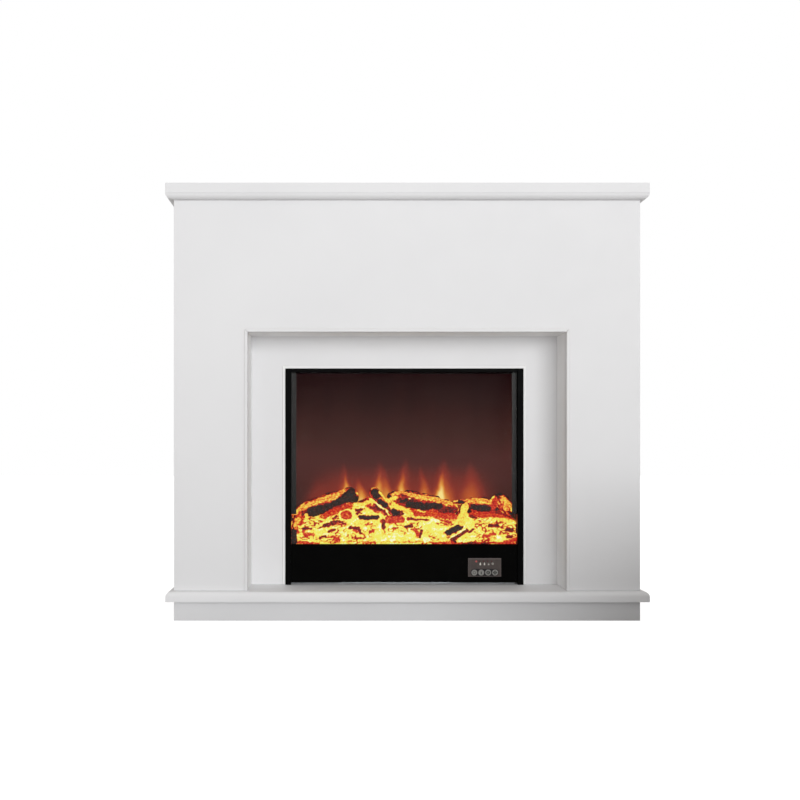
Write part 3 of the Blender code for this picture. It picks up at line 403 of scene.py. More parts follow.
# -------------------- inner and small finishes
def reflector():
    graph = Graph("reflector", (0.85, 0.85, 0.86), 0.12, 1.0)
    crinkle = graph.noise(160.0, 3.0, 0.6)
    graph.feed("Roughness", graph.span(crinkle, 0.3, 0.7, 0.06, 0.2))
    graph.bump(crinkle, 0.0006, 0.5)
    return graph.material


def moulded(name, light, dark, roughness, specular=0.4):
    """Moulded plastic with a fine spark-eroded grain."""
    graph = Graph(name, light, roughness, specular=specular)
    grain = graph.noise(1800.0, 2.0, 0.5)
    cloud = graph.noise(60.0, 3.0)
    graph.feed("Base Color", graph.blend(graph.span(cloud, 0.3, 0.7), light, dark))
    graph.feed("Roughness", graph.span(grain, 0.3, 0.7, roughness - 0.05, roughness + 0.08))
    graph.bump(grain, 0.00008, 0.4)
    return graph.material


def panel_plastic():
    return moulded("panel_plastic", srgb(80, 71, 68), srgb(71, 62, 59), 0.42, 0.2)


def button_plastic():
    return moulded("button_plastic", srgb(72, 70, 69), srgb(62, 60, 59), 0.5, 0.2)


def nylon():
    return moulded("nylon", srgb(46, 46, 47), srgb(38, 38, 39), 0.55)


def lamp_plastic():
    graph = Graph("lamp_plastic", (0.8, 0.8, 0.76), 0.18)
    cloud = graph.noise(300.0, 2.0)
    graph.feed("Base Color", graph.blend(cloud, srgb(214, 214, 206), srgb(232, 232, 226)))
    return graph.material


def circuit_board():
    """Green solder mask with copper tracks showing through."""
    graph = Graph("circuit_board", (0.03, 0.16, 0.07), 0.4)
    bends = graph.stretched(160.0, 160.0, 160.0)
    track = graph.cells(1.0, "Distance", bends)
    rings = graph.calc("PINGPONG", graph.calc("MULTIPLY", track, 6.0), 1.0)
    copper = graph.span(rings, 0.62, 0.7)
    graph.feed("Base Color", graph.blend(copper, srgb(28, 92, 54), srgb(62, 128, 74)))
    graph.bump(copper, 0.00006, 0.5)
    return graph.material


def motor_steel():
    graph = Graph("motor_steel", (0.35, 0.35, 0.36), 0.4, 0.9)
    drawn = graph.noise(1.0, 3.0, 0.6, graph.stretched(20.0, 1500.0, 1500.0))
    graph.feed("Base Color", graph.blend(drawn, srgb(140, 141, 144), srgb(178, 179, 182)))
    graph.feed("Roughness", graph.span(drawn, 0.3, 0.7, 0.3, 0.5))
    return graph.material


def heater_ceramic():
    graph = Graph("heater_ceramic", (0.5, 0.47, 0.42), 0.75)
    grit = graph.noise(700.0, 3.0, 0.7)
    graph.feed("Base Color", graph.blend(grit, srgb(170, 163, 150), srgb(206, 200, 188)))
    graph.bump(grit, 0.0002, 0.6)
    return graph.material


# each function is named for the record's slot that it makes
FINISHES = (
    white_paint, raw_board, black_frame, black_steel, zinc_steel, glass, grey_strip, log_resin,
    flame_screen, reflector, panel_plastic, button_plastic, nylon, lamp_plastic, circuit_board,
    motor_steel, heater_ceramic,
)
MATERIALS = {make.__name__: make() for make in FINISHES}
# the bead round the fire and the recess's returns take a lighter copy of the board paint: painted light
# that brightens the bead and lifts the shade in the returns
BEAD_NODES = ("insert_trim", "recess_return_left", "recess_return_right", "recess_return_top")
OWN_PAINT = dict.fromkeys(BEAD_NODES, white_paint("lit_bead_paint", LIT_BEAD_WHITES))
OWN_PAINT["hearth_slab"] = white_paint("hearth_paint", HEARTH_WHITES)


def dress_frame():
    """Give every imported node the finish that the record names, and smooth its round faces."""
    for part in frame["record"]["subparts"]:
        node = NODES[part["node"]]
        node.data.materials.clear()
        node.data.materials.append(OWN_PAINT.get(part["node"], MATERIALS[part["material_slot"]]))
        weld = node.modifiers.new("weld", "WELD")
        weld.merge_threshold = 0.00001
        crease = node.modifiers.new("crease", "EDGE_SPLIT")
        crease.split_angle = math.radians(32)
        if "custom_normal" in node.data.attributes:
            node.data.attributes.remove(node.data.attributes["custom_normal"])
        node.data.shade_smooth()


# -------------------- building pieces
def ride_mesh(name, mesh, slot, body=SHELL, material=None):
    """New piece that rides on a body and takes its finish from a slot."""
    mesh.materials.clear()
    mesh.materials.append(material or MATERIALS[slot])
    piece = bpy.data.objects.new(name, mesh)
    bpy.context.scene.collection.objects.link(piece)
    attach(piece, body)
    return piece


def piece_from(name, points, faces, slot):
    """Smooth piece from points and faces."""
    mesh = bpy.data.meshes.new(name)
    mesh.from_pydata([tuple(point) for point in points], [], faces)
    mesh.update()
    mesh.shade_smooth()
    return ride_mesh(name, mesh, slot)


def set_paint(piece, values):
    layer = piece.data.attributes.new("paint", "FLOAT", "POINT")
    layer.data.foreach_set("value", np.asarray(values, np.float32))


def loop_faces(rings, sides):
    """Quads between closed rings, and a fan of triangles to a middle point at each end."""
    faces = []
    for ring in range(rings - 1):
        for side in range(sides):
            after = (side + 1) % sides
            low = ring * sides
            high = low + sides
            faces.append((low + side, low + after, high + after, high + side))
    first_tip = rings * sides
    last = (rings - 1) * sides
    for side in range(sides):
        after = (side + 1) % sides
        faces.append((after, side, first_tip))
        faces.append((last + side, last + after, first_tip + 1))
    return faces


CURVE_STEPS = 24            # samples for each point of a path


def smooth_path(points, count):
    """Even samples of a Catmull-Rom curve through points, each (x, y, z, radius), and its length."""
    points = np.array(points, float)
    padded = np.vstack([2 * points[0] - points[1], points, 2 * points[-1] - points[-2]])
    samples = []
    for step in np.linspace(0, len(points) - 1 - 1e-9, CURVE_STEPS * len(points)):
        index = int(step)
        t = step - index
        a, b, c, d = padded[index:index + 4]
        samples.append(
            0.5 * (2 * b + (c - a) * t + (2 * a - 5 * b + 4 * c - d) * t * t
                   + (3 * b - a - 3 * c + d) * t ** 3)
        )
    samples = np.array(samples)
    strides = np.linalg.norm(np.diff(samples[:, :3], axis=0), axis=1)
    travelled = np.concatenate([[0], np.cumsum(strides)])
    even = np.linspace(0, travelled[-1], count)
    line = np.stack([np.interp(even, travelled, column) for column in samples.T], axis=1)
    return line, travelled[-1]


def smoothstep(value):
    value = np.clip(value, 0, 1)
    return value * value * (3 - 2 * value)


def wander(points, scale, seed):
    """Signed noise at each point, about -1 to 1."""
    shift = Vector((seed * 7.3, seed * 3.1, seed * 5.7))
    return np.array([noise.noise(Vector(point) * scale + shift) for point in points])


# -------------------- painted resin
# Brush strokes seen from the front, in millimetres: x and z of both ends, and half width.
# They are laid on in this order, each group at its own paint level.
STROKES = [
    (0.58, [    # red embers under and beside the logs
        (-211, 258, -143, 278, 8), (-281, 260, -276, 238, 9), (-103, 308, -86, 306, 7),
        (-41, 248, -4, 246, 9), (25, 266, 132, 254, 10), (182, 258, 232, 258, 8),
        (247, 293, 242, 278, 8), (240, 258, 304, 246, 6), (32, 218, 40, 201, 5),
        (-268, 216, -261, 201, 5), (-258, 206, -241, 208, 4), (-182, 195, -176, 193, 6),
        (268, 186, 302, 196, 6), (-292, 184, -226, 183, 3.5), (77, 183, 302, 184, 3.5),
        (212, 203, 242, 206, 4), (-133, 216, -126, 214, 4), (-150, 205, -150, 205, 4),
        (-265, 183, -233, 181, 3), (-108, 184, -76, 184, 2.5), (88, 246, 128, 238, 3),
        (-96, 284, -52, 262, 7), (60, 262, 138, 252, 7), (-60, 240, -20, 238, 4),
        (-300, 250, -284, 214, 6),
    ]),
    (0.47, [    # orange foot of the bed
        (-226, 187, 77, 187, 1.2),
    ]),
    (0.80, [    # dark red splits and chips
        (-297, 258, -296, 222, 4), (-113, 290, -98, 296, 5), (-128, 268, -104, 271, 3),
        (-88, 278, -53, 268, 3.5), (-80, 286, -46, 258, 2.5), (-123, 261, -113, 263, 3.5),
        (-55, 242, -54, 223, 5), (-211, 230, -178, 238, 4.5), (-228, 223, -203, 233, 2.2),
        (-188, 246, -181, 253, 3), (-198, 216, -186, 218, 4), (-223, 196, -208, 201, 3),
        (-143, 224, -121, 223, 4.5), (-121, 221, -116, 211, 4), (-171, 238, -156, 233, 3),
        (-271, 221, -246, 221, 2.2), (5, 226, 20, 228, 4.5), (46, 218, 42, 198, 3),
        (12, 248, 65, 243, 2.5), (127, 193, 167, 218, 5), (172, 211, 185, 221, 2.6),
        (158, 183, 195, 183, 2.6), (202, 181, 222, 181, 4), (227, 231, 252, 228, 4.5),
        (272, 218, 287, 218, 5), (274, 201, 286, 203, 3), (100, 271, 137, 268, 8),
        (-6, 311, 14, 305, 3), (14, 302, 28, 298, 3), (-14, 258, -4, 262, 6),
        (182, 254, 196, 248, 3), (262, 262, 290, 250, 3),
    ]),
    (1.00, [    # char
        (-251, 264, -223, 270, 12), (-223, 270, -173, 292, 8), (-170, 295, -139, 316, 11),
        (-153, 300, -121, 299, 9), (-113, 251, -72, 250, 6.5), (-76, 318, -73, 310, 10),
        (-64, 294, -48, 283, 6.5), (-38, 306, -33, 303, 5), (-24, 267, -22, 264, 11),
        (15, 284, 45, 282, 9), (55, 279, 95, 281, 9.5), (8, 296, -6, 292, 4),
        (153, 292, 158, 292, 4.5), (190, 278, 229, 273, 8), (177, 268, 178, 266, 5.5),
        (242, 314, 266, 317, 7), (292, 261, 292, 259, 5), (118, 211, 150, 228, 7.5),
        (304, 228, 306, 180, 6), (-294, 220, -292, 186, 8), (132, 190, 136, 188, 3),
    ]),
    (0.40, [    # mottled crust on top of the logs, half burnt through
        (-291, 262, -246, 288, 4.5), (-246, 289, -188, 308, 4.5), (-188, 309, -158, 321, 3),
        (-21, 313, 0, 318, 4), (0, 316, 57, 306, 4.5), (57, 306, 95, 298, 4.5),
        (95, 298, 132, 290, 3.5), (172, 296, 222, 296, 5), (270, 297, 278, 276, 9),
        (-280, 246, -290, 226, 5),
    ]),
    (0.29, [    # crust that glows through, and the edges of splits
        (-262, 258, -258, 248, 4), (-63, 318, -41, 294, 4.5), (-41, 293, -18, 303, 4.5),
        (-28, 286, 21, 258, 6.5), (167, 278, 152, 240, 10), (235, 293, 245, 306, 2),
        (-128, 279, -92, 292, 4), (-92, 292, -76, 290, 3), (-118, 259, -64, 260, 2.4),
        (-113, 266, -93, 275, 2), (5, 253, 70, 249, 2.4), (299, 268, 304, 262, 4),
        (252, 246, 290, 240, 4), (-298, 262, -299, 222, 1.2), (38, 270, 58, 264, 2),
    ]),
    (0.03, [    # hottest spots and edges
        (-79, 289, -43, 266, 1.4), (-128, 283, -108, 278, 1.4), (121, 196, 163, 222, 1.6),
        (-31, 193, -29, 195, 7), (-54, 191, -51, 192, 4), (57, 192, 62, 194, 7),
        (76, 246, 92, 240, 5), (-104, 223, -102, 225, 4), (248, 201, 256, 199, 5),
        (-155, 206, -153, 208, 4), (16, 301, 20, 300, 1.6), (-36, 225, -33, 226, 5),
    ]),
]
# wander of a stroke's edge: noise scale, reach in millimetres and seed
RAGGED = ((55, 3.4, 31), (190, 2.0, 33))
# a stroke fades out over this width, and ends this far past its half width
STROKE_FADE = 2.4
STROKE_MARGIN = 1.3


def brushed(points, paint):
    """Paint levels with the strokes laid over them, ragged at their edges."""
    flat = points[:, (0, 2)] * 1000
    for scale, reach, seed in RAGGED:
        drift = [wander(points, scale, seed), wander(points, scale, seed + 1)]
        flat += np.column_stack(drift) * reach
    for level, strokes in STROKES:
        for start_x, start_z, end_x, end_z, half in strokes:
            start = np.array((start_x, start_z))
            run = np.array((end_x, end_z)) - start
            along = np.clip((flat - start) @ run / max(run @ run, 0.01), 0, 1)
            away = np.linalg.norm(flat - start - along[:, None] * run, axis=1)
            cover = smoothstep((half + STROKE_MARGIN - away) / STROKE_FADE)
            paint = paint + (level - paint) * cover
    return paint


# -------------------- logs
LOG_GRID = 0.0016           # spacing of the mesh's points
ROUNDED_END = 0.25          # a log's ends round off over this share of its widest radius
# height across a log, from its underside (-1) to its top (1), and the paint there
BARK = [(-1.0, 0.24), (-0.8, 0.34), (-0.6, 0.50), (-0.3, 0.64), (0.2, 0.70), (0.42, 0.40),
        (0.55, 0.24), (0.82, 0.30), (0.92, 0.60), (1.0, 0.86)]
# points of each log's path, (x, y, z, radius) in millimetres
LOGS = {
    "left": [(-299, 12, 248, 11), (-262, 10, 267, 22), (-217, 12, 280, 26), (-170, 14, 294, 27),
             (-142, 15, 303, 25), (-119, 16, 301, 14)],
    "cross": [(-78, 12, 330, 9), (-76, 8, 316, 14), (-60, 0, 292, 15), (-38, -6, 272, 17),
              (-19, -10, 252, 18)],
    "long": [(-44, 16, 301, 10), (-20, 16, 300, 19), (10, 16, 295, 25), (45, 14, 288, 26),
             (85, 12, 280, 25), (120, 12, 273, 21), (148, 14, 268, 17)],
    "branch": [(150, -6, 236, 15), (156, -4, 256, 14), (164, 0, 274, 12), (174, 4, 290, 9)],
    "twig": [(136, 6, 289, 6), (153, 4, 291, 7), (172, 2, 290, 6)],
    "right": [(166, 14, 279, 16), (200, 14, 278, 23), (246, 14, 271, 24), (290, 12, 257, 19)],
    "stump": [(294, 6, 252, 15), (278, 8, 274, 22), (262, 10, 294, 20), (251, 12, 311, 13)],
}


def log_line(path):
    """Centres, radii and length of a log, and the directions outward and upward across it."""
    _, length = smooth_path(path, 3)
    rings = max(8, round(length / LOG_GRID))
    line, length = smooth_path(path, rings)
    centres = line[:, :3]
    tangents = np.gradient(centres, axis=0)
    tangents /= np.linalg.norm(tangents, axis=1)[:, None]
    outward = np.array((0.0, -1.0, 0.0)) + tangents * tangents[:, 1:2]
    outward /= np.linalg.norm(outward, axis=1)[:, None]
    upward = np.cross(outward, tangents)
    upward *= np.sign(upward[:, 2:3] + 1e-6)
    return centres, line[:, 3], length, outward, upward


def make_log(index, name, path):
    """Lumpy split log along a path, with bark levels by the height across it."""
    centres, radii, length, outward, upward = log_line(np.array(path) / 1000)
    rings = len(centres)
    widest = radii.max()
    sides = max(24, round(math.tau * widest / LOG_GRID))
    from_end = np.minimum(np.arange(rings), np.arange(rings)[::-1]) * length / rings
    blunt = np.sqrt(1 - (1 - np.clip(from_end / (ROUNDED_END * widest), 0, 1)) ** 2)
    radius = (radii * np.maximum(blunt, 0.05))[:, None]
    angle = np.linspace(0, math.tau, sides, endpoint=False)[None, :, None]
    spoke = outward[:, None, :] * np.cos(angle) + upward[:, None, :] * np.sin(angle)
    points = (centres[:, None, :] + spoke * radius[:, :, None]).reshape(-1, 3)
    spoke = spoke.reshape(-1, 3)
    along = np.repeat(np.arange(rings) * length / rings, sides)
    grain_place = np.column_stack([0.22 * along, widest * spoke[:, 1], widest * spoke[:, 2]])
    lumps = wander(points, 46, index)
    knobs = wander(points, 120, index + 10)
    ridges = 1 - 2 * np.abs(wander(grain_place, 190, index + 20))
    splinter = wander(grain_place, 520, index + 40)
    reach = np.repeat(radius[:, 0], sides)
    swell = reach * (0.22 * lumps + 0.13 * knobs + 0.07 * ridges + 0.05 * splinter)
    points += spoke * swell[:, None]
    across = spoke[:, 2] / np.maximum(np.repeat(np.abs(upward[:, 2]), sides), 0.35)
    paint = np.interp(across + 0.30 * lumps + 0.22 * splinter, *zip(*BARK))
    paint += 0.20 * ridges + 0.14 * wander(points, 240, index + 60)
    paint = brushed(points, paint)
    charred_back = 0.9 * smoothstep((spoke[:, 1] - 0.15) / 0.5)
    paint = np.maximum(paint, charred_back)
    tips = [centres[0], centres[-1]]
    tip_paint = [paint[:sides].mean(), paint[-sides:].mean()]
    piece = piece_from(f"log_{name}", np.vstack([points, tips]), loop_faces(rings, sides), "log_resin")
    set_paint(piece, np.concatenate([paint, tip_paint]))


# -------------------- ember bed
BED_GRID = 0.0018           # spacing of the mesh's points along x
BED_ROWS = 80               # over the front and the top
HIDDEN_ROWS = 10            # down the back, and again along the base
BED_HALF = 0.3025
BED_RELIEF = 0.0040         # most that the stones stand out or sink in
BED_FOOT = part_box("log_set")[0].z
BED_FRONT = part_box("log_set")[0].y + BED_RELIEF + 0.0005
BED_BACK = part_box("log_set")[1].y - 0.001
BARE_BED = 0.215            # paint level between the strokes
# height of the bed's crest along x
CREST = [(-0.306, 0.236), (-0.270, 0.250), (-0.210, 0.256), (-0.152, 0.270), (-0.118, 0.292),
         (-0.095, 0.303), (-0.062, 0.296), (-0.030, 0.284), (0.020, 0.268), (0.090, 0.258),
         (0.155, 0.262), (0.220, 0.260), (0.280, 0.256), (0.306, 0.240)]
# a sawn branch end: x, z and radii across and up
KNOT = (-0.1530, 0.2560, 0.0165, 0.0130)
# depth into the bed and rise, from its front foot to its back edge
BED_SHAPE = [(0.0, 0.0), (0.0, 0.30), (0.06, 0.62), (0.20, 0.86), (0.38, 0.985), (0.55, 1.0),
             (0.80, 0.97), (1.0, 0.90)]


def bed_profile(crest):
    """Front and top of the bed as (y, z) points."""
    rise = crest - BED_FOOT
    depth = BED_BACK - BED_FRONT
    corners = [(BED_FRONT + depth * back, BED_FOOT + rise * up, 0.0, 0.0) for back, up in BED_SHAPE]
    line, _ = smooth_path(corners, BED_ROWS)
    return line[:, :2]


def bed_paint(points, lumps, stones, crumbs):
    """Paint levels of the bed, with redder seams between its stones, and the distance from the knot."""
    paint = BARE_BED + 0.15 * lumps - 0.10 * stones + 0.17 * crumbs
    seams = smoothstep((stones - 0.56) / 0.38)
    busy = smoothstep((wander(points, 26, 11) + 0.05 + 1.2 * (np.abs(points[:, 0]) - 0.09)) / 0.4)
    paint += 0.56 * seams * busy
    paint = brushed(points, paint)
    knot_x, knot_z, across, up = KNOT
    from_knot = np.hypot((points[:, 0] - knot_x) / across, (points[:, 2] - knot_z) / up)
    from_knot += 0.14 * lumps + 0.08 * crumbs
    paint = np.where(from_knot < 1.30, 0.17, paint)
    return np.where(from_knot < 0.92, 0.57, paint), from_knot


def make_bed():
    """Moulded bed of embers: a closed body with stones and a knot raised on its front and top."""
    columns = round(2 * BED_HALF / BED_GRID)
    xs = np.linspace(-BED_HALF, BED_HALF, columns)
    rings = []
    for x, crest in zip(xs, np.interp(xs, *zip(*CREST))):
        front = bed_profile(crest)
        back = np.linspace(front[-1], (BED_BACK, BED_FOOT), HIDDEN_ROWS)[1:]
        base = np.linspace((BED_BACK, BED_FOOT), front[0], HIDDEN_ROWS)[1:-1]
        loop = np.vstack([front, back, base])
        rings.append(np.column_stack([np.full(len(loop), x), loop]))
    sides = len(rings[0])
    points = np.vstack(rings)
    stretched = points * np.array((0.55, 1.0, 1.25))
    lumps = wander(stretched, 70, 3)
    stones = 1 - 2 * np.abs(wander(stretched, 120, 5))
    crumbs = wander(points, 360, 7)
    paint, from_knot = bed_paint(points, lumps, stones, crumbs)
    row = np.tile(np.arange(sides), columns)
    shown = smoothstep(row / 5) * smoothstep((BED_ROWS - row) / 8) * (row < BED_ROWS)
    ends = smoothstep((BED_HALF - np.abs(points[:, 0])) / 0.006)
    collar = smoothstep((1.4 - from_knot) / 0.3)
    raised = 0.0020 * lumps + 0.0018 * stones + 0.0008 * crumbs + 0.0018 * paint + 0.0040 * collar
    outward = np.array((0.0, -0.85, 0.5))
    points += outward * (np.clip(raised, -BED_RELIEF, BED_RELIEF) * shown * ends)[:, None]
    tips = [rings[0].mean(axis=0), rings[-1].mean(axis=0)]
    piece = piece_from("ember_bed", np.vstack([points, tips]), loop_faces(columns, sides), "log_resin")
    set_paint(piece, np.concatenate([paint, [0.9, 0.9]]))
    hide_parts("log_set")


def make_fire():
    make_bed()
    for index, (name, path) in enumerate(LOGS.items()):
        make_log(index, name, path)


# -------------------- flat fittings on the front
INLAY = 0.00018             # an inlay stands this far out of the face that it is set in
EDGE_ROUNDING = 0.00004


def circle(radius, centre=(0.0, 0.0), sides=48):
    angles = [math.tau * step / sides for step in range(sides)]
    return [(centre[0] + radius * math.cos(a), centre[1] + radius * math.sin(a)) for a in angles]


def rectangle(low_x, high_x, low_z, high_z):
    return [(low_x, low_z), (high_x, low_z), (high_x, high_z), (low_x, high_z)]


def stadium(low_x, high_x, middle, radius, steps=20):
    """Outline with straight sides and round ends."""
    turn = np.linspace(-math.pi / 2, math.pi / 2, steps)
    right = [(high_x + radius * math.cos(t), middle + radius * math.sin(t)) for t in turn]
    left = [(low_x - radius * math.cos(t), middle - radius * math.sin(t)) for t in turn]
    return right + left


def diamond(reach):
    return [(reach, 0.0), (0.0, reach), (-reach, 0.0), (0.0, -reach)]


def arc_band(inner, outer, start, end, steps=28):
    """Part of a ring between two radii, with its ends given in degrees."""
    angles = [math.radians(start + (end - start) * step / steps) for step in range(steps + 1)]
    outside = [(outer * math.cos(a), outer * math.sin(a)) for a in angles]
    inside = [(inner * math.cos(a), inner * math.sin(a)) for a in reversed(angles)]
    return outside + inside


def drop(half_width, half_height, steps=36):
    """Flame shape: round at its foot and pointed at its top."""
    points = []
    for step in range(steps):
        turn = math.tau * step / steps
        across = half_width * math.sin(turn) * abs(math.sin(turn / 2)) ** 1.4
        points.append((across, half_height * math.cos(turn)))
    return points


def wave(middle, half_width, half_height, sway=0.0005, steps=14):
    """Upright wavy bar."""
    heights = [half_height * (2 * step / steps - 1) for step in range(steps + 1)]
    line = [(middle + sway * math.sin(math.pi * z / half_height), z) for z in heights]
    right = [(x + half_width, z) for x, z in line]
    left = [(x - half_width, z) for x, z in line]
    return right + left[::-1]


def mesh_of(curve):
    """Welded mesh of a curve."""
    drawn = bpy.data.objects.new(curve.name, curve)
    bpy.context.scene.collection.objects.link(drawn)
    bpy.context.view_layer.update()
    shown = drawn.evaluated_get(bpy.context.evaluated_depsgraph_get())
    mesh = bpy.data.meshes.new_from_object(shown)
    bpy.data.objects.remove(drawn)
    welder = bmesh.new()
    welder.from_mesh(mesh)
    bmesh.ops.remove_doubles(welder, verts=welder.verts, dist=0.000001)
    bmesh.ops.recalc_face_normals(welder, faces=welder.faces)
    welder.to_mesh(mesh)
    welder.free()
    return mesh


def flat_piece(name, outlines, centre, front, thickness, finish, body=SHELL):
    """Thin plate facing forward, from closed outlines round a centre; an inner outline is a hole.
    A finish is a material and the slot that it belongs to."""
    curve = bpy.data.curves.new(name, "CURVE")
    curve.dimensions = "2D"
    curve.fill_mode = "BOTH"
    curve.extrude = thickness / 2 - EDGE_ROUNDING
    curve.bevel_depth = EDGE_ROUNDING
    curve.bevel_resolution = 1
    curve.offset = -EDGE_ROUNDING
    for outline in outlines:
        spline = curve.splines.new("POLY")
        spline.points.add(len(outline) - 1)
        for point, (across, up) in zip(spline.points, outline):
            point.co = (across, up, 0.0, 1.0)
        spline.use_cyclic_u = True
    mesh = mesh_of(curve)
    mesh.transform(Matrix.Rotation(math.pi / 2, 4, "X"))
    mesh.transform(Matrix.Translation((centre[0], front + thickness / 2, centre[1])))
    material, slot = finish
    return ride_mesh(name, mesh, slot, body, material)


# -------------------- control panel
BUTTON_FACE = 0.0077        # radius of the disc set in each button
SIGNS = {
    "power_button": [arc_band(0.0028, 0.0038, 125, 415), rectangle(-0.0005, 0.0005, 0.0008, 0.0046)],
    "flame_button": [drop(0.0021, 0.0048)],
    "heat_button": [wave(across, 0.0004, 0.0026) for across in (-0.0015, 0.0, 0.0015)],
    "timer_button": [arc_band(0.0020, 0.0026, 0, 360)],
}
# dark windows in the discs of two buttons
WINDOWS = {
    "heat_button": circle(0.0048),
    "timer_button": diamond(0.0060),
}
SIGN_THICKNESS = 1.1 * INLAY
SIGN_LIFT = 1.3 * INLAY     # a button's sign stands this far in front of its face
BAND_HALF = 0.0096          # half height of the dark band of painted shadow that the buttons stand in
BAND_GAP = 0.0008           # between the band and each disc
# the panel's border: its gap to the panel's edge, and how far in it reaches at the sides and the top
BORDER_GAP = 0.0004
BORDER_SIDE = 0.0011
BORDER_TOP = 0.0036
# the lamp row, from the panel's middle
LAMP_PITCH = 0.0109
LAMP_OFFSET = 0.0049
LAMP_RISE = 0.0097
WARNING_LAMP = (-0.0221, 0.0158, 0.0026)    # across, up, radius
UNLIT_LAMP = (-0.0026, 0.0065, 0.0017)      # across and up from the lit lamp below it, radius
LAMP_COVER = 0.0028         # radius of the smoked cover over each lamp
COVER_FRONT = 0.00045       # in front of the panel, past the light guide's pegs
SIGN_FRONT = 0.00055
LAMP_SIGNS = [
    [drop(0.0027, 0.0042)],
    [drop(0.0024, 0.0040)],
    [[(-0.0026, -0.0034), (0.0026, -0.0034), (0.0, 0.0012)]],
    [circle(0.0027), circle(0.0013)],
]
LAMP_LEVELS = (1.10, 1.00, 0.72, 0.64)
WARNING_LEVEL = 0.9


def node_centre(name):
    """Middle of a node's front face, as (x, z), and the y of that face."""
    low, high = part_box(name)
    return ((low.x + high.x) / 2, (low.z + high.z) / 2), low.y


def darker(colour, share):
    return [value * share for value in colour]


def print_or_shade_ink(name, colour, slot):
    """Finish of a printed or inlaid mark, or of painted shadow, a little mottled."""
    return moulded(name, colour, darker(colour, 0.86), 0.45, 0.2), slot


def lens(name, colour, strength):
    """Finish of a small lit lens, unevenly bright."""
    graph = Graph(name, darker(colour, 0.15), 0.4, specular=0.1)
    cloud = graph.span(graph.noise(900.0, 2.0), 0.35, 0.65)
    graph.feed("Emission Color", graph.blend(cloud, colour, darker(colour, 0.75)))
    graph.feed("Emission Strength", strength)
    return graph.material, "lamp_plastic"


def make_lamps(centre, face, smoke):
    """Row of lit signs behind smoked covers, an unlit lamp over each, and the red warning lamp."""
    unlit = print_or_shade_ink("unlit_lamp", srgb(82, 38, 40), "lamp_plastic")
    first = LAMP_OFFSET - (len(LAMP_SIGNS) - 1) / 2 * LAMP_PITCH
    for index, (sign, level) in enumerate(zip(LAMP_SIGNS, LAMP_LEVELS)):
        spot = (centre[0] + first + index * LAMP_PITCH, centre[1] + LAMP_RISE)
        glow = lens(f"lamp_glow_{index}", srgb(184, 180, 172), level)
        cover = [circle(LAMP_COVER)]
        flat_piece(f"lamp_cover_{index}", cover, spot, face - COVER_FRONT, COVER_FRONT, smoke)
        flat_piece(f"lamp_sign_{index}", sign, spot, face - SIGN_FRONT, INLAY, glow)
        across, up, radius = UNLIT_LAMP
        mark = (spot[0] + across, spot[1] + up)
        flat_piece(f"unlit_lamp_{index}", [circle(radius)], mark, face - INLAY, 2 * INLAY, unlit)
    across, up, radius = WARNING_LAMP
    red = lens("warning_glow", srgb(168, 84, 82), WARNING_LEVEL)
    spot = (centre[0] + across, centre[1] + up)
    flat_piece("warning_lens", [circle(radius)], spot, face - COVER_FRONT, COVER_FRONT, red)


def make_panel():
    """Border of the control panel, the dark band of painted shadow round its buttons, and its lamps."""
    low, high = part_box("control_bezel")
    centre, face = node_centre("control_bezel")
    half_x = (high.x - low.x) / 2
    half_z = (high.z - low.z) / 2
    outer_x = half_x - BORDER_GAP
    outer_z = half_z - BORDER_GAP
    inner_x = half_x - BORDER_SIDE
    rim = print_or_shade_ink("panel_border", srgb(100, 90, 88), "panel_plastic")
    border = [
        rectangle(-outer_x, outer_x, -outer_z, outer_z),
        rectangle(-inner_x, inner_x, BORDER_SIDE - half_z, half_z - BORDER_TOP),
    ]
    flat_piece("panel_border", border, centre, face - INLAY, 2 * INLAY, rim)
    # dark band round and between the buttons: painted shadow, where shade falls round them
    shade = print_or_shade_ink("button_shadow_band", srgb(38, 34, 36), "panel_plastic")
    spots = [(x - centre[0], z - centre[1]) for x, z in (node_centre(name)[0] for name in SIGNS)]
    band = [stadium(spots[0][0], spots[-1][0], spots[0][1], BAND_HALF)]
    band += [circle(BUTTON_FACE + BAND_GAP, spot) for spot in spots]
    flat_piece("button_shadow_band", band, centre, face - INLAY / 2, INLAY, shade)
    make_lamps(centre, face, rim)


def make_buttons():
    """Disc, window and sign on each button, all moving with it."""
    pale = print_or_shade_ink("button_pale", srgb(140, 139, 135), "button_plastic")
    dark = print_or_shade_ink("button_dark", srgb(60, 61, 57), "button_plastic")
    for name, sign in SIGNS.items():
        centre, face = node_centre(name)
        body = name + "_cap"
        disc = [circle(BUTTON_FACE)]
        ink = dark
        if name in WINDOWS:
            window = WINDOWS[name]
            disc.append(window)
            ink = pale
            flat_piece(name + "_window", [window], centre, face - INLAY / 2, INLAY, dark, body)
        flat_piece(name + "_disc", disc, centre, face - INLAY, 2 * INLAY, pale, body)
        flat_piece(name + "_sign", sign, centre, face - SIGN_LIFT, SIGN_THICKNESS, ink, body)


# -------------------- screws
SCREW_RADIUS = 0.0036
SCREW_HEIGHT = 0.0018
# pan head from its middle to its rim: share of the radius and of the height
PAN_HEAD = [(0.0, 1.0), (0.35, 0.98), (0.62, 0.88), (0.84, 0.66), (0.96, 0.34), (1.0, 0.0), (0.0, 0.0)]
RECESS_ARM = 0.0019
RECESS_HALF = 0.00045
SCREW_INSET = 0.010
SCREW_TURN = 0.9            # from one screw's recess to the next, in radians
COVER_COLUMNS = 5
COVER_ROWS = 4


def link_mesh(name, builder):
    """New object from a bmesh, which it frees."""
    mesh = bpy.data.meshes.new(name)
    builder.to_mesh(mesh)
    builder.free()
    made = bpy.data.objects.new(name, mesh)
    bpy.context.scene.collection.objects.link(made)
    return made


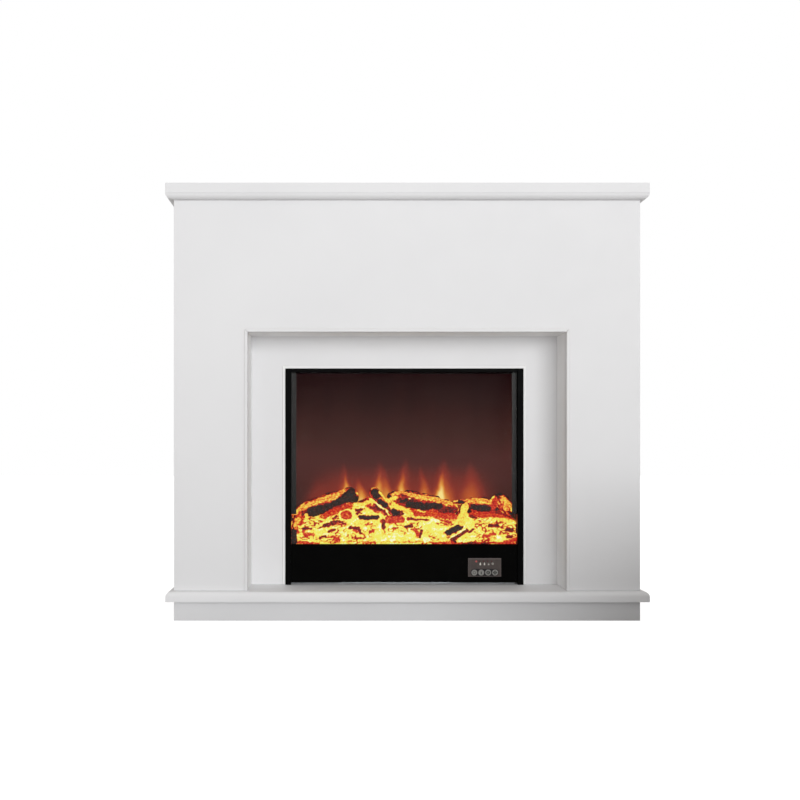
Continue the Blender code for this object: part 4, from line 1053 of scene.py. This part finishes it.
def screw_head():
    """Pan head with a cross recess, seated at the origin and facing +Y."""
    turned = bmesh.new()
    ring = [turned.verts.new((r * SCREW_RADIUS, h * SCREW_HEIGHT, 0.0)) for r, h in PAN_HEAD]
    edges = [turned.edges.new(pair) for pair in zip(ring, ring[1:])]
    profile = ring + edges
    axis = {"cent": (0, 0, 0), "axis": (0, 1, 0)}
    bmesh.ops.spin(turned, geom=profile, angle=math.tau, steps=28, use_merge=True, **axis)
    bmesh.ops.remove_doubles(turned, verts=turned.verts, dist=0.000001)
    bmesh.ops.recalc_face_normals(turned, faces=turned.faces)
    head = link_mesh("screw_head", turned)
    cross = bmesh.new()
    seat = Matrix.Translation((0, SCREW_HEIGHT, 0))
    for half_x, half_z in ((RECESS_ARM, RECESS_HALF), (RECESS_HALF, RECESS_ARM)):
        size = Matrix.Diagonal((2 * half_x, SCREW_HEIGHT, 2 * half_z, 1.0))
        bmesh.ops.create_cube(cross, size=1.0, matrix=seat @ size)
    cutter = link_mesh("screw_cross", cross)
    recess = head.modifiers.new("recess", "BOOLEAN")
    recess.object = cutter
    recess.use_self = True
    bpy.context.view_layer.update()
    mesh = bpy.data.meshes.new_from_object(head.evaluated_get(bpy.context.evaluated_depsgraph_get()))
    bpy.data.objects.remove(head)
    bpy.data.objects.remove(cutter)
    return mesh


def make_screws():
    """Screws round the edge of the rear cover, each turned to its own angle."""
    low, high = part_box("rear_cover")
    left = low.x + SCREW_INSET
    right = high.x - SCREW_INSET
    places = []
    for x in np.linspace(left, right, COVER_COLUMNS):
        places.append((x, high.y, high.z - SCREW_INSET))
        places.append((x, high.y, low.z + SCREW_INSET))
    for z in np.linspace(low.z, high.z, COVER_ROWS)[1:-1]:
        places.append((left, high.y, z))
        places.append((right, high.y, z))
    head = screw_head()
    group = bmesh.new()
    for index, place in enumerate(places):
        before = len(group.verts)
        group.from_mesh(head)
        turned = Matrix.Translation(place) @ Matrix.Rotation(SCREW_TURN * index, 4, "Y")
        bmesh.ops.transform(group, matrix=turned, verts=group.verts[before:])
    mesh = bpy.data.meshes.new("cover_screws")
    group.to_mesh(mesh)
    group.free()
    mesh.shade_smooth()
    mesh.set_sharp_from_angle(angle=math.radians(35))
    ride_mesh("cover_screws", mesh, "motor_steel")


# -------------------- stage, light and camera
EYE = Vector((-0.170, -2.4465, 0.4584))
LENS = 40.8
SENSOR = 36.0
VIEW_SHIFT = (0.075, 0.05)

WORLD_LIGHT = 0.52
WORLD_TINT = (1.0, 0.975, 0.945)
SUN_FROM = Vector((0.24, -0.96, 0.10))
SUN_POWER = 1.745
SUN_SPREAD = math.radians(40)
SUN_TINT = (0.972, 0.985, 1.0)

FLOOR_HALF = 9.0
# the floor is greyer by the object, so that less light bounces up under its hearth
FLOOR_NEAR = (0.30, 0.30, 0.30)
FLOOR_FAR = (0.84, 0.84, 0.84)
# the grey fades out over an oval: these scales of x and y, and these distances in them
FLOOR_OVAL = (0.75, 1.5)
FLOOR_FADE = (0.40, 1.05)
FLOOR_CLOUD = 0.1
FLOOR_LIFT = 0.90           # extra brightness of the floor, seen by the camera only
# dark card at the lower right, between these points of the floor
CARD_LINE = ((0.56, -0.95), (1.30, -0.95))
CARD_HEIGHT = 0.36
CARD_TONES = ((0.018, 0.018, 0.018), (0.024, 0.024, 0.024))


def make_world():
    """Soft white surroundings, pure white to the camera."""
    world = bpy.data.worlds.new("studio")
    world.use_nodes = True
    bpy.context.scene.world = world
    tree = world.node_tree
    shader = tree.nodes["Background"]
    path = tree.nodes.new("ShaderNodeLightPath")
    level = tree.nodes.new("ShaderNodeMix")
    level.data_type = "RGBA"
    level.inputs[6].default_value = (*(WORLD_LIGHT * value for value in WORLD_TINT), 1.0)
    level.inputs[7].default_value = (1.0, 1.0, 1.0, 1.0)
    tree.links.new(path.outputs["Is Camera Ray"], level.inputs[0])
    tree.links.new(level.outputs[2], shader.inputs["Color"])


def make_sun():
    """Broad soft light from the front right."""
    data = bpy.data.lights.new("soft_sun", "SUN")
    data.energy = SUN_POWER
    data.angle = SUN_SPREAD
    data.color = SUN_TINT
    sun = bpy.data.objects.new("soft_sun", data)
    bpy.context.scene.collection.objects.link(sun)
    sun.rotation_euler = SUN_FROM.to_track_quat("Z", "Y").to_euler()


def stage_quad(name, corners, material):
    """One flat face of the studio."""
    mesh = bpy.data.meshes.new(name)
    mesh.from_pydata(corners, [], [(0, 1, 2, 3)])
    mesh.materials.append(material)
    quad = bpy.data.objects.new(name, mesh)
    bpy.context.scene.collection.objects.link(quad)
    return quad


def make_floor():
    """Pale floor that the camera sees as white."""
    graph = Graph("studio_floor", (0.9, 0.9, 0.9), 0.7, specular=0.1)
    oval = graph.stretched(*FLOOR_OVAL, 1.0)
    reach = graph.node("VectorMath", {0: oval}, "Value", operation="LENGTH")
    cloud = graph.calc("MULTIPLY", graph.noise(1.5, 2.0), FLOOR_CLOUD)
    open_floor = graph.calc("ADD", graph.span(reach, *FLOOR_FADE, smooth=True), cloud)
    graph.feed("Base Color", graph.blend(open_floor, FLOOR_NEAR, FLOOR_FAR))
    graph.feed("Emission Color", (1.0, 1.0, 1.0, 1.0))
    seen = graph.node("LightPath", {}, "Is Camera Ray")
    graph.feed("Emission Strength", graph.calc("MULTIPLY", seen, FLOOR_LIFT))
    half = FLOOR_HALF
    corners = [(-half, -half, 0), (half, -half, 0), (half, half, 0), (-half, half, 0)]
    stage_quad("studio_floor", corners, graph.material)


def make_card():
    """Dark card that keeps light off the object's lower right, unseen by the camera."""
    graph = Graph("studio_card", (0.02, 0.02, 0.02), 0.9)
    graph.feed("Base Color", graph.blend(graph.noise(20.0), *CARD_TONES))
    near, far = CARD_LINE
    corners = [(*near, 0), (*far, 0), (*far, CARD_HEIGHT), (*near, CARD_HEIGHT)]
    card = stage_quad("studio_card", corners, graph.material)
    card.visible_camera = False


def make_camera():
    data = bpy.data.cameras.new("camera")
    data.sensor_width = SENSOR
    data.lens = LENS
    data.shift_x, data.shift_y = VIEW_SHIFT
    camera = bpy.data.objects.new("camera", data)
    bpy.context.scene.collection.objects.link(camera)
    camera.location = EYE
    camera.rotation_euler = (math.pi / 2, 0, 0)      # level, looking along +Y
    bpy.context.scene.camera = camera


def make_studio():
    bpy.context.scene.view_settings.view_transform = "Standard"
    make_world()
    make_floor()
    make_card()
    make_sun()
    make_camera()


dress_frame()
make_fire()
make_panel()
make_buttons()
make_screws()
make_studio()
